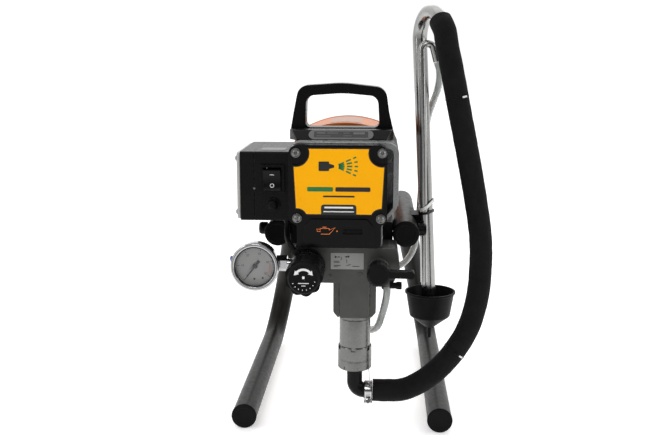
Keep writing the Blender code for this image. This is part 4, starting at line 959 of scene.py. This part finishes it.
def add_switch():
    x, z = SWITCH

    def window(half_x, half_z, radius=0.0):
        return rectangle(x - half_x, x + half_x, z - half_z, z + half_z, radius)

    front = BOX_Y[0] - GAP
    bezel = extrude("Y", window(0.0134, 0.0152, 0.0012), (front - 0.003, front), [window(0.0099, 0.0125)])
    sleeve = extrude("Y", window(0.0115, 0.0135), (front - 0.001, front + 0.018),
                     [window(0.0099, 0.0125)])
    piece("rocker_bezel", combine(bezel, sleeve, how="UNION"), "black", replaces="switch_bezel",
          edge=0.0006)

    pivot = Vector((x, BOX_Y[0] + 0.002, z))
    half, tilt = 0.0113, radians(8)
    crown = [(-0.007 - 0.003 * (k / 6) ** 2, half * k / 6) for k in range(-6, 7)]
    shape = crown + [(0.001, half), (0.006, 0.004), (0.006, -0.004), (0.001, -half)]
    rocker = extrude("X", [(pivot.y + y, pivot.z + h) for y, h in shape], (x - 0.0095, x + 0.0095))
    turned_copy(rocker, tilt, "X", pivot)
    piece("rocker_key", rocker, "black", body="rocker", replaces="rocker", edge=0.0005, angle=50)
    for name, outline, hole, height in (
        ("rocker_mark_line", rectangle(x - 0.0022, x + 0.0022, -0.0004, 0.0004), [], 0.0062),
        ("rocker_mark_ring", circle(x, 0, 0.0023, 32), [circle(x, 0, 0.0016, 32)], -0.0058),
    ):
        mark = extrude("Y", outline, (-PRINT, 0.0002), hole)
        level = -0.007 - 0.003 * (height / half) ** 2
        lean = -2 * 0.003 * height / half**2
        shift = Matrix.Translation((0, pivot.y + level, pivot.z + height))
        mark.transform(shift @ Matrix.Rotation(-lean, 4, "X"))
        turned_copy(mark, tilt, "X", pivot)
        piece(name, mark, "white", body="rocker")

    dome = turn([(0, -0.0065), (0.003, -0.0064, 0.002), (0.0054, -0.005, 0.0014), (0.0054, 0.01),
                 (0, 0.01)],
                (BUTTON[0], front, BUTTON[1]), "Y", 56, 6)
    piece("button_cap", dome, "black_matt", body="reset_button", replaces="reset_button")
    collar = disc(0.0078, -0.0018, 0.0, 0.0008, (BUTTON[0], BOX_Y[0], BUTTON[1]), "Y", 0.0058)
    piece("button_collar", collar, "black")


def add_gland():
    body = turn([(0.0035, 0.014), (0.006, 0.014, 0.0006), (0.0085, 0.01, 0.001), (0.0085, 0.0055),
                 (0.0064, 0.0055),
                 (0.0064, -0.008, 0.0005), (0.0035, -0.008)], (GLAND[0], BOX_Y[1], GLAND[1]), "Y", 48)
    nut = extrude("Y", circle(*GLAND, 0.0098, 6), (BOX_Y[1] + GAP, BOX_Y[1] + 0.0052),
                  [circle(*GLAND, 0.0066)])
    ribs = together(*turned_set(
        lambda: block((GLAND[0] + 0.008, GLAND[0] + 0.0089), (BOX_Y[1] + 0.0058, BOX_Y[1] + 0.01),
                      (GLAND[1] - 0.0004, GLAND[1] + 0.0004)), 16, "Y", (GLAND[0], 0, GLAND[1])))
    piece("gland_body", together(body, nut, ribs), "black", replaces="mains_gland")


# ---- manifold and pump --------------------------------------------------------------------------
def add_manifold():
    low, high = MANIFOLD_Z
    outline = rounded([
        (MANIFOLD_X[0], low + 0.004, 0.004), (-0.03, low, 0.004), (0.058, low, 0.006),
        (0.0655, 0.213, 0.01), (MANIFOLD_X[1] - 0.001, high, 0.003), (MANIFOLD_X[0], high, 0.004),
    ])
    body = extrude("Y", outline, MANIFOLD_Y)
    half, foot = 0.0233, 0.156
    neck = extrude("Y", rounded([
        (PUMP.x - half + 0.005, foot, 0.003), (PUMP.x + half - 0.005, foot, 0.003),
        (PUMP.x + half, foot + 0.006, 0.004), (PUMP.x + half, low + 0.004, 0),
        (PUMP.x - half, low + 0.004, 0), (PUMP.x - half, foot + 0.006, 0.004),
    ]), (-0.056, -0.014))
    face = extrude("Y", rectangle(PUMP.x - 0.016, PUMP.x + 0.016, 0.1565, 0.199, 0.002),
                   (-0.06, -0.05))
    top_rib = extrude("Y", rectangle(-0.028, 0.055, high - 0.004, high + 0.0003, 0.002),
                      (-0.0598, -0.02))
    solid = combine(body, neck, face, top_rib, how="UNION")
    bore = turn([(0, 0.15), (0.01, 0.15), (0.01, 0.2265), (0.0135, 0.2265), (0.0135, 0.24),
                 (0, 0.24)],
                PUMP, "Z", 48)
    spout = turn([(0, 0.0036), (0.0058, 0.0036), (0.0058, -0.003, 0.0006), (0.0048, -0.005, 0.0006),
                  (0, -0.005)],
                 (0.0515, -0.049, low - GAP), "Z", 40)
    grooves = [
        block((PUMP.x + s * 0.0167 - 0.0005, PUMP.x + s * 0.0167 + 0.0005), (-0.06, -0.053),
              (0.155, 0.1957))
        for s in (-1, 1)
    ]
    solid = combine(combine(solid, bore, *grooves), spout, how="UNION")
    piece("pump_manifold", solid, "manifold", replaces="manifold", edge=0.0012, segments=3, angle=40)

    y = MANIFOLD_Y[0]
    printed("manifold_label", [rectangle(-0.0092, 0.0262, 0.2112, 0.229, 0.0008)], y, "pale_film")
    marks = [
        [(-0.005, 0.2262), (-0.002, 0.2247), (-0.005, 0.2232)],
        stroke([(-0.002, 0.2247), (0.0006, 0.2247)], 0.001),
        [(0.0085, 0.2262), (0.0055, 0.225), (0.0085, 0.2238)], circle(0.0098, 0.2252, 0.0011, 20),
        stroke(arc(0.0002, 0.2232, 0.0022, 40, 150, 8), 0.0006),
        rectangle(-0.006, 0.0000, 0.2196, 0.2203), rectangle(-0.006, 0.0004, 0.2182, 0.2188),
        rectangle(-0.006, 0.0012, 0.215, 0.2158), rectangle(-0.006, -0.0012, 0.2136, 0.2142),
        stroke([(0.008, 0.2222), (0.008, 0.218)], 0.0006), rectangle(0.007, 0.011, 0.215, 0.2155),
        rectangle(0.014, 0.0215, 0.2142, 0.2149), stroke([(0.0095, 0.2166), (0.0125, 0.2166)], 0.0005),
    ]
    printed("manifold_label_marks", marks, y - PRINT, "ink")
    for number, (x, z, r) in enumerate(((0.0225, 0.2052, 0.003), (-0.01, 0.203, 0.0024)), 1):
        head = turn([(0, -0.0006), (r, -0.0006, 0.0004), (r, 0.001), (0, 0.001)], (x, y, z), "Y", 40)
        socket = extrude("Y", circle(x, z, r * 0.55, 6), (y - 0.002, y + 0.0004))
        piece(f"manifold_plug_{number}", combine(head, socket), "manifold")


def thread(centre, axis, radius, pitch, low, high, depth, count=36):
    """A helical ridge around an axis."""
    build = bmesh.new()
    root, crest = radius - 0.0002, radius + depth
    section = ((root, -0.42), (crest, -0.06), (crest, 0.06), (root, 0.42))
    rings = [
        [build.verts.new(around(axis, centre, r, 2 * pi * k / count,
                                low + pitch * k / count + shift * pitch))
         for r, shift in section]
        for k in range(int((high - low) / pitch * count) + 1)
    ]
    bridge(build, rings)
    build.faces.new(rings[0])
    build.faces.new(rings[-1])
    return build


def add_pump():
    barrel = turn([
        (0.0125, 0.1038), (0.0165, 0.1038, 0.0004), (0.0173, 0.1048, 0.0004), (0.0173, 0.1502, 0.0003),
        (0.0168, 0.1507, 0.0002), (0.0168, 0.1513, 0.0002), (0.0173, 0.1518, 0.0003),
        (0.0173, 0.1545, 0.0004), (0.0165, 0.1556, 0.0003), (0.0125, 0.1556),
    ], PUMP, "Z", 96)
    piece("pump_barrel", barrel, "steel", replaces="pump_cylinder")
    ring = turn([
        (0.0101, 0.093), (0.0178, 0.093, 0.0004), (0.0187, 0.094, 0.0004), (0.0187, 0.103, 0.0003),
        (0.0183, 0.1034, 0.0001), (0.0183, 0.104, 0.0001), (0.0187, 0.1044, 0.0003),
        (0.0187, 0.1185, 0.0005),
        (0.0182, 0.1195, 0.0003), (0.0176, 0.1195), (0.0176, 0.0965), (0.0101, 0.0965),
    ], PUMP, "Z", 96)
    notches = turned_set(
        lambda: block((PUMP.x + 0.015, PUMP.x + 0.02), (PUMP.y - 0.0024, PUMP.y + 0.0024),
                      (0.1158, 0.121)), 6, "Z", PUMP, 0.42)
    lower = turned_set(
        lambda: block((PUMP.x + 0.0178, PUMP.x + 0.02), (PUMP.y - 0.0009, PUMP.y + 0.0009),
                      (0.092, 0.0975)), 8, "Z", PUMP, 0.2)
    piece("ring_nut", combine(ring, *notches, *lower), "steel", replaces="foot_valve_nut")
    path = fillet_path([(PUMP.x, PUMP.y, 0.0965), (PUMP.x, PUMP.y, ELBOW_Z), (0.0365, PUMP.y, ELBOW_Z)],
                       0.0105, 14)
    elbow = tube(path, 0.0086, 0.006, 48)
    collar = turn([(0.008, 0.027), (0.0098, 0.027, 0.0006), (0.0098, 0.0365, 0.0006), (0.008, 0.0365)],
                  (0, PUMP.y, ELBOW_Z), "X", 48)
    piece("elbow_moulding", together(elbow, collar), "black", replaces="inlet_elbow")
    add_clamp()
    nut = turn([(0.0064, 0.2268), (0.013, 0.2268), (0.013, 0.2385, 0.0004), (0.012, 0.2395),
                (0.0064, 0.2395)],
               PUMP, "Z", 64)
    slots = turned_set(
        lambda: block((PUMP.x + 0.006, PUMP.x + 0.014), (PUMP.y - 0.0016, PUMP.y + 0.0016),
                      (0.237, 0.24)),
        4, "Z", PUMP)
    piece("gland_nut", combine(nut, *slots), "steel", replaces="packing_nut")
    outlet = (0.051, -0.024, MANIFOLD_Z[0] - GAP)
    stub = turn([(0, 0), (0.0072, 0), (0.0072, -0.005, 0.0005), (0.0052, -0.006, 0.0003),
                 (0.0052, -0.0144, 0.0006),
                 (0.0044, -0.015), (0.0026, -0.015), (0.0026, -0.006), (0, -0.006)], outlet, "Z", 56)
    hexagon = extrude("Z", circle(outlet[0], outlet[1], 0.0082, 6),
                      (outlet[2] - 0.0048, outlet[2] - 0.0004))
    ridge = thread(outlet, "Z", 0.0052, 0.0012, -0.0138, -0.0064, 0.00045)
    piece("outlet_stub", together(combine(stub, hexagon, how="UNION"), ridge), "steel",
          replaces="outlet_fitting")


def add_clamp():
    """A worm clamp: slotted band, screw housing below, and the thin wire that holds it to the pump."""
    middle = Vector((0.032, PUMP.y, ELBOW_Z))
    band = rectangle(0.0102, 0.0111, -0.004, 0.004, 0.0003, 3)
    strap = ring_around(middle, Vector((1, 0, 0)), band, 72)
    slots = [
        turned_copy(block((middle.x - 0.0024, middle.x + 0.0024), (PUMP.y - 0.012, PUMP.y - 0.0107),
                          (ELBOW_Z - 0.0004, ELBOW_Z + 0.0004)), radians(angle), "X", middle)
        for angle in range(-35, 36, 10)
    ]
    piece("clamp_band", combine(strap, *slots), "chrome", replaces="hose_clamp")
    low = ELBOW_Z - 0.0118
    tip = radians(-22)
    housing = combine(
        block((middle.x - 0.0046, middle.x + 0.0046), (PUMP.y - 0.0052, PUMP.y + 0.0052),
              (low - 0.003, low + 0.0024), 0.001),
        block((middle.x - 0.0024, middle.x + 0.0024), (PUMP.y - 0.006, PUMP.y + 0.006),
              (low - 0.0034, low + 0.0006)),
    )
    piece("clamp_housing", turned_copy(housing, tip, "X", middle), "chrome", edge=0.0006, segments=2)
    screw = turn([(0, -0.009), (0.003, -0.009, 0.0008), (0.003, -0.0056, 0.0004), (0.0019, -0.0056),
                  (0.0019, 0.006, 0.0004), (0, 0.006)], (middle.x, PUMP.y, low - 0.0006), "Y", 32)
    groove = block((middle.x - 0.0004, middle.x + 0.0004), (PUMP.y - 0.01, PUMP.y - 0.0082),
                   (low - 0.005, low + 0.003))
    ridge = thread((middle.x, PUMP.y, low - 0.0006), "Y", 0.0019, 0.0011, -0.005, 0.0055, 0.0004, 24)
    piece("clamp_worm", turned_copy(together(combine(screw, groove), ridge), tip, "X", middle), "chrome")
    wire = smooth_path([
        (0.0325, PUMP.y - 0.01, 0.0945), (0.033, PUMP.y - 0.0112, 0.088),
        (0.0332, PUMP.y - 0.0112, 0.082),
        (0.0326, PUMP.y - 0.01, 0.0772), (0.032, PUMP.y - 0.006, 0.076),
    ], 24)
    piece("clamp_wire", tube(wire, 0.00045, 0.0, 10), "chrome")


# ---- pressure control, gauge and prime valve ----------------------------------------------------
def add_pressure_control():
    back, x, z = MANIFOLD_Y[0] - GAP, *KNOB
    housing = turn([
        (0, back - 0.027), (0.013, back - 0.027), (0.013, back - 0.022, 0.0006),
        (0.0175, back - 0.0215, 0.0008),
        (0.0186, back - 0.0195, 0.0008), (0.0186, back - 0.012, 0.0004), (0.0178, back - 0.0112, 0.0003),
        (0.0178, back - 0.01, 0.0003), (0.0186, back - 0.0092, 0.0004), (0.0186, back, 0.0006), (0, back),
    ], (x, 0, z), "Y", 80)
    ribs = together(*turned_set(
        lambda: block((x + 0.0182, x + 0.019), (back - 0.0086, back - 0.0012), (z - 0.0005, z + 0.0005)),
        30, "Y", (x, 0, z)))
    piece("transducer_housing", together(housing, ribs), "black", replaces="control_housing")

    front, rear, lobes = -0.118, back - 0.0275, 9
    outline = []
    for k in range(lobes * 14):
        angle = 2 * pi * k / (lobes * 14)
        wave = 0.5 + 0.5 * cos(lobes * angle)
        radius = 0.0177 + 0.002 * wave ** 0.6
        outline.append((x + radius * cos(angle), z + radius * sin(angle)))
    grip = extrude("Y", outline, (front + 0.003, rear))
    face = turn([(0, front), (0.015, front, 0.001), (0.0168, front + 0.0022, 0.001),
                 (0.0168, front + 0.008), (0, front + 0.008)],
                (x, 0, z), "Y", 96)
    knob = combine(grip, face, how="UNION")
    dish = turn([(0, front - 0.001), (0.0138, front - 0.001), (0.0138, front + 0.0004),
                 (0, front + 0.0004)], (x, 0, z), "Y", 96)
    piece("pressure_knob_moulding", combine(knob, dish), "black_matt", body="pressure_knob",
          replaces="pressure_knob", edge=0.0007, segments=3, angle=40)
    level = front + 0.0004
    marks = [stroke(arc(x, z + 0.0004, 0.0092, -46, 46, 24), 0.0024)]       # the arrow and its two heads
    base = radians(46)
    for sign in (-1, 1):
        centre = Vector((x + sign * 0.0092 * sin(base), z + 0.0004 + 0.0092 * cos(base)))
        out = Vector((sign * sin(base), cos(base)))
        on = Vector((sign * cos(base), -sin(base)))
        marks.append([tuple(centre + out * 0.0028), tuple(centre + on * 0.0044),
                      tuple(centre - out * 0.0028)])
    marks += [rectangle(x - 0.0012, x + 0.0012, z - 0.0002, z + 0.0026, 0.0004)]
    marks += [stroke(arc(x, z, 0.012, a - 1.6, a + 1.6, 2), 0.0012) for a in range(105, 246, 20)]
    marks += [rectangle(x - 0.0055, x + 0.0055, z - 0.0052, z - 0.0044),
              rectangle(x - 0.0022, x + 0.0022, z - 0.0078, z - 0.0071)]
    printed("pressure_knob_marks", marks, level, "white", body="pressure_knob")

    cable = smooth_path([
        (-0.058, -0.033, 0.259), (-0.0585, -0.038, 0.25), (-0.057, -0.05, 0.243),
        (-0.054, -0.062, 0.24), (-0.0502, -0.068, 0.2361), (-0.0456, -0.07, 0.23),
    ], 48)
    piece("transducer_cable", tube(cable, CABLE_R, 0.0, 28), "black_matt", replaces="control_cable")
    boots = [
        turn([(0, -0.002), (0.0052, -0.002, 0.0006), (0.004, 0.003, 0.0008), (0, 0.003)],
             (-0.0457, -0.07, 0.2318), "Z", 36),
        turn([(0, 0.0), (0.005, 0.0, 0.0006), (0.0038, -0.005, 0.0008), (0, -0.005)],
             (-0.0581, -0.0335, 0.2607), "Z", 36),
    ]
    piece("cable_boots", together(*boots), "black_matt")


def add_gauge():
    """A dial gauge: rolled bezel, white dial with ticks and numbers, needle, relief plug and stem."""
    x, z = GAUGE
    front, back = -0.0555, -0.0275
    axis = (x, 0, z)
    case = turn([
        (0, back), (0.0228, back, 0.0012), (0.0238, back - 0.0012, 0.0008),
        (0.0238, front + 0.0115, 0.0003),
        (0.0262, front + 0.0103, 0.0006), (0.0262, front + 0.005, 0.0003),
        (GAUGE_R, front + 0.004, 0.0005), (GAUGE_R, front + 0.001, 0.001),
        (GAUGE_R - 0.0012, front, 0.001),
        (0.0226, front, 0.0008), (0.0222, front + 0.002), (0.0245, front + 0.0022),
        (0.0245, front + 0.0085), (0, front + 0.0085),
    ], axis, "Y", 112)
    piece("gauge_housing", case, "chrome", replaces="gauge_case")
    rings = [disc(0.0224, front + 0.0016, front + 0.0026, 0.0002, axis, "Y", 0.0212, 96),
             disc(0.0246, front - 0.0001, front + 0.0006, 0.0001, axis, "Y", 0.0241, 96)]
    piece("gauge_gaskets", together(*rings), "ink")
    stem_y, stem_z = -0.0385, 0.212
    start, end = x + 0.0255, MANIFOLD_X[0] - GAP
    hexagon = extrude("X", circle(stem_y, stem_z, 0.009, 6, radians(30)), (x + 0.0232, start + 0.009))
    neck = turn([(0, 0), (0.0062, 0), (0.0062, 0.003, 0.0005), (0.005, 0.0036), (0.005, end - start),
                 (0, end - start)],
                (start, stem_y, stem_z), "X", 48)
    ridge = thread((start, stem_y, stem_z), "X", 0.005, 0.0011, 0.0108, end - start - 0.001, 0.0005)
    piece("gauge_stem", together(combine(hexagon, neck, how="UNION"), ridge), "chrome")
    lens = disc(0.024, front + 0.0026, front + 0.0044, 0.0004, axis, "Y", 0.0, 96)
    piece("gauge_lens", lens, "glass", replaces="gauge_glass")
    dial = front + 0.0085
    piece("gauge_dial", disc(0.0243, dial - 0.0006, dial - 0.0001, 0.0002, axis, "Y", 0.0, 96), "dial")
    ticks, zero, sweep = [], GAUGE_ZERO, 270
    for k in range(51):
        big = k % 10 == 0
        inner = 0.0172 if big else 0.0186
        angle = radians(zero + sweep * k / 50)
        way = Vector((sin(angle), cos(angle)))
        centre = Vector((x, z))
        ticks.append(stroke([centre + way * inner, centre + way * 0.0204], 0.0007 if big else 0.0003))
    ticks.append(stroke(arc(x, z, 0.0207, zero, zero + sweep, 72), 0.0004))
    ticks += [circle(x - 0.0011, z - 0.0145, 0.0012, 20), circle(x + 0.0079, z - 0.0134, 0.0012, 20)]
    level = dial - 0.0006
    printed("gauge_ticks", ticks, level, "ink")
    red_arc = stroke(arc(x, z, 0.016, zero + 225, zero + 270, 24), 0.0008)
    printed("gauge_limit_arc", [red_arc], level, "amber")
    for k in range(6):
        angle = radians(zero + sweep * k / 5)
        add_number(f"gauge_number_{k}", str(k * 10), x + 0.014 * sin(angle), level - PRINT,
                   z + 0.014 * cos(angle))

    swing = radians(GAUGE_ZERO)
    hand = [(-0.0017, -0.0074), (0.0017, -0.0074), (0.001, -0.003), (0.0011, 0.0), (0.0004, 0.0168),
            (-0.0004, 0.0168), (-0.0011, 0.0), (-0.001, -0.003)]
    outline = [(x + a * cos(swing) + b * sin(swing), z - a * sin(swing) + b * cos(swing)) for a, b in hand]
    needle = extrude("Y", outline, (front + 0.0058, front + 0.0066))
    hub = turn([(0, front + 0.0052), (0.0026, front + 0.0052, 0.0006), (0.0026, front + 0.007),
                (0, front + 0.007)], axis, "Y", 40)
    piece("gauge_hand", combine(needle, hub, how="UNION"), "ink", body="gauge_needle",
          replaces="gauge_needle")
    side = Vector((x - 0.0258, -0.0475, z + 0.0078))
    plug = turn([(0, 0.0008), (0.0028, 0.0008), (0.0028, -0.0016, 0.0008), (0, -0.0018)], side, "X", 32)
    piece("gauge_relief_plug", plug, "blue")


def add_number(name, digits, x, y, z):
    """Raised figures on the dial."""
    curve = bpy.data.curves.new(name, "FONT")
    curve.body, curve.size, curve.extrude = digits, 0.0036, 0.00006
    curve.align_x, curve.align_y = "CENTER", "CENTER"
    made = bpy.data.objects.new(name, curve)
    made.location = at(x, y, z)
    made.rotation_euler = (radians(90), 0, 0)
    bpy.context.scene.collection.objects.link(made)
    bpy.context.view_layer.update()
    mesh = bpy.data.meshes.new_from_object(made.evaluated_get(bpy.context.evaluated_depsgraph_get()))
    world = made.matrix_world.copy()
    bpy.data.objects.remove(made)
    build = bmesh.new()
    build.from_mesh(mesh)
    build.transform(Matrix.Translation(-ORIGIN) @ world)
    piece(name, build, "ink")


def add_prime_valve():
    x, z = PRIME
    back = MANIFOLD_Y[0] - GAP
    body = turn([
        (0, back - 0.018), (0.006, back - 0.018), (0.006, back - 0.015),
        (0.0118, back - 0.015, 0.0006),
        (0.0118, back - 0.011, 0.0006), (0.0105, back - 0.01, 0.0003), (0.0105, back - 0.0016, 0.0003),
        (0.0112, back - 0.0012, 0.0003), (0.0112, back, 0.0003), (0, back),
    ], (x, 0, z), "Y", 72)
    piece("prime_valve_housing", body, "manifold", replaces="prime_valve_body")
    front, rear = -0.096, back - 0.0153
    outline = []
    for k in range(120):
        angle = 2 * pi * k / 120
        radius = 0.0123 - 0.0004 * (0.5 + 0.5 * cos(20 * angle)) ** 3
        outline.append((x + radius * cos(angle), z + radius * sin(angle)))
    grip = extrude("Y", outline, (front + 0.0022, rear))
    face = turn([(0, front), (0.0098, front, 0.0014), (0.012, front + 0.0022, 0.001),
                 (0.012, front + 0.006), (0, front + 0.006)],
                (x, 0, z), "Y", 72)
    bore = turn([(0, rear - 0.0035), (0.0063, rear - 0.0035), (0.0063, rear + 0.002), (0, rear + 0.002)],
                (x, 0, z), "Y", 40)
    bar = extrude("Y", rounded([
        (x + 0.006, 0.2097, 0.001), (x + 0.016, 0.2102, 0.003), (0.07, 0.21, 0.003),
        (0.0798, 0.2092, 0.0035),
        (0.0798, 0.2182, 0.0035), (0.07, 0.2172, 0.003), (x + 0.016, 0.2172, 0.003),
        (x + 0.006, 0.2177, 0.001),
    ]), (-0.094, -0.083))
    knob = combine(combine(grip, face, bar, how="UNION"), bore)
    piece("prime_lever_moulding", knob, "black_matt", body="prime_lever", replaces="prime_lever",
          edge=0.0009, segments=3, angle=40)
    tee = turn([(0, 0), (0.0034, 0), (0.0034, 0.007, 0.0005), (0.0042, 0.0076, 0.0004),
                (0.0042, 0.013, 0.001), (0, 0.013)],
               (x + 0.012, -0.064, 0.195), "X", 36)
    piece("drain_bleed_screw", tee, "black_matt")


# ---- siphon set ---------------------------------------------------------------------------------
def add_siphon():
    straight = [suction_axis(z) for z in (0.135, 0.21, 0.29, 0.37, 0.43, 0.456)]
    path = straight + siphon_arch(28)
    piece("suction_pipe", tube(path, SUCTION_R, SUCTION_R - 0.0012, 56), "drawn", replaces="suction_tube")
    hook, _ = hook_path(18)
    hook = [hook[0].lerp(hook[1], k / 8) for k in range(8)] + hook[1:]
    piece("return_pipe", tube(hook, RETURN_R, RETURN_R - 0.0008, 36), "drawn", replaces="return_tube")

    block_outline = rounded([
        (0.079, 0.044, 0.001), (0.0965, 0.044, 0.002), (0.0965, 0.064, 0), (0.1065, 0.064, 0.002),
        (0.1065, 0.0765, 0.001), (0.079, 0.0765, 0.001),
    ])
    low, high = suction_axis(0.2), suction_axis(0.29)
    frame_cut = turn([(0, 0.03), (TUBE_R + GAP, 0.03), (TUBE_R + GAP, 0.09), (0, 0.09)],
                     (UPPER_X, 0, UPPER_Z), "Y", 64)
    clip = combine(extrude("Z", block_outline, (0.236, 0.253)),
                   tube([low, high], SUCTION_R + GAP, 0.0, 56), frame_cut)
    back = CUP[1] + CUP_R + GAP
    strap = extrude("Y", rectangle(0.096, 0.106, CUP_Z - 0.025, 0.25, 0.002), (back, back + 0.002))
    piece("tube_clip_moulding", combine(clip, strap, how="UNION"), "black_matt", replaces="tube_clip",
          edge=0.0006, segments=2, angle=40)

    centre = (*CUP, 0)
    wall, z = 0.002, CUP_Z
    cup = turn([
        (0, z - 0.058), (0.0023, z - 0.058, 0.0005), (0.0028, z - 0.045, 0.001),
        (0.006, z - 0.044, 0.001),
        (0.024, z - 0.03, 0.003), (CUP_R - 0.0016, z - 0.003, 0.0004), (CUP_R, z - 0.0022, 0.0005),
        (CUP_R, z, 0.0006), (CUP_R - wall, z, 0.0006), (0.024 - wall, z - 0.0285, 0.003),
        (0.0045, z - 0.0415, 0.001), (0, z - 0.0415),
    ], centre, "Z", 88, 5)
    ribs = together(*turned_set(
        lambda: block((CUP[0] + 0.0045, CUP[0] + 0.0062), (CUP[1] - 0.0005, CUP[1] + 0.0005),
                      (z - 0.045, z - 0.0405)), 4, "Z", centre, 0.5))
    piece("drip_cup_moulding", together(cup, ribs), "black_matt", replaces="drip_cup")
    add_pipe_ties()


def add_pipe_ties():
    """A black tie around both pipes, and a white strap that slopes down to the clip."""
    def wrap(z_left, z_right, grow, width, thick, name, look):
        middle = suction_axis(0.2525)
        loop = []
        corners = [(middle.x, SUCTION_Y, SUCTION_R + grow), (0.0941, RETURN_Y, RETURN_R + grow)]
        (ax, ay, ar), (bx, by, br) = corners
        gap_way = Vector((bx - ax, by - ay))
        spread_angle = acos((ar - br) / gap_way.length)
        toward = atan2(gap_way.y, gap_way.x)
        for k in range(25):
            a = toward + spread_angle + (2 * pi - 2 * spread_angle) * k / 24
            loop.append((ax + ar * cos(a), ay + ar * sin(a)))
        for k in range(13):
            a = toward - spread_angle + 2 * spread_angle * k / 12
            loop.append((bx + br * cos(a), by + br * sin(a)))
        left, right = min(p[0] for p in loop), max(p[0] for p in loop)
        build = bmesh.new()
        rings = []
        for i, (px, py) in enumerate(loop):
            before, after = Vector(loop[i - 1]), Vector(loop[(i + 1) % len(loop)])
            way = (after - before).normalized()
            out = Vector((way.y, -way.x))
            level = z_left + (z_right - z_left) * (px - left) / (right - left)
            rings.append([
                build.verts.new((px + out.x * t, py + out.y * t, level + h))
                for t, h in ((0, -width / 2), (thick, -width / 2), (thick, width / 2), (0, width / 2))
            ])
        bridge(build, rings + rings[:1])
        piece(name, build, look)

    wrap(0.2562, 0.2575, 0.0003, 0.0026, 0.0011, "pipe_tie", "black")
    wrap(0.259, 0.27, 0.0003, 0.004, 0.0008, "pipe_strap", "strap_white")
    lock = block((0.0885, 0.0935), (0.0335, 0.039), (0.2545, 0.26), 0.0008)
    piece("pipe_tie_lock", lock, "black_matt", edge=0.0005, segments=2)


# ---- hidden pieces ------------------------------------------------------------------------------
def finish_inside():
    """Gears, armature, valves and bearings keep their solids and get real finishes."""
    looks = {
        "crank_gear": "steel_y", "middle_gear": "steel_y", "armature": "steel_y", "stator": "steel_y",
        "armature_bearing_front": "chrome", "crank_bearing": "chrome", "connecting_rod": "cast",
        "rod_packing": "packing", "inlet_seat": "steel", "inlet_ball": "chrome", "outlet_ball": "chrome",
        "piston_rod": "chrome",
    }
    for node, look in looks.items():
        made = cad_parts[node]
        made.data.materials.clear()
        made.data.materials.append(LOOKS[look])
    coils = []
    for span in ((0.102, 0.107), (0.163, 0.168)):
        coils += turned_set(
            lambda: block((0.012, 0.028), span, (MOTOR_Z - 0.0035, MOTOR_Z + 0.0035), 0.001),
            12, "Y", (0, 0, MOTOR_Z))
    piece("armature_windings", together(*coils), "copper", body="armature", edge=0.0008, segments=2)


def main():
    add_stage()
    add_hoses()
    for side, sign in (("left", -1), ("right", 1)):
        add_frame(side, sign)
    add_housing()
    add_cover()
    add_handle()
    add_motor()
    add_control_box()
    add_manifold()
    add_pump()
    add_pressure_control()
    add_gauge()
    add_prime_valve()
    add_siphon()
    finish_inside()


main()
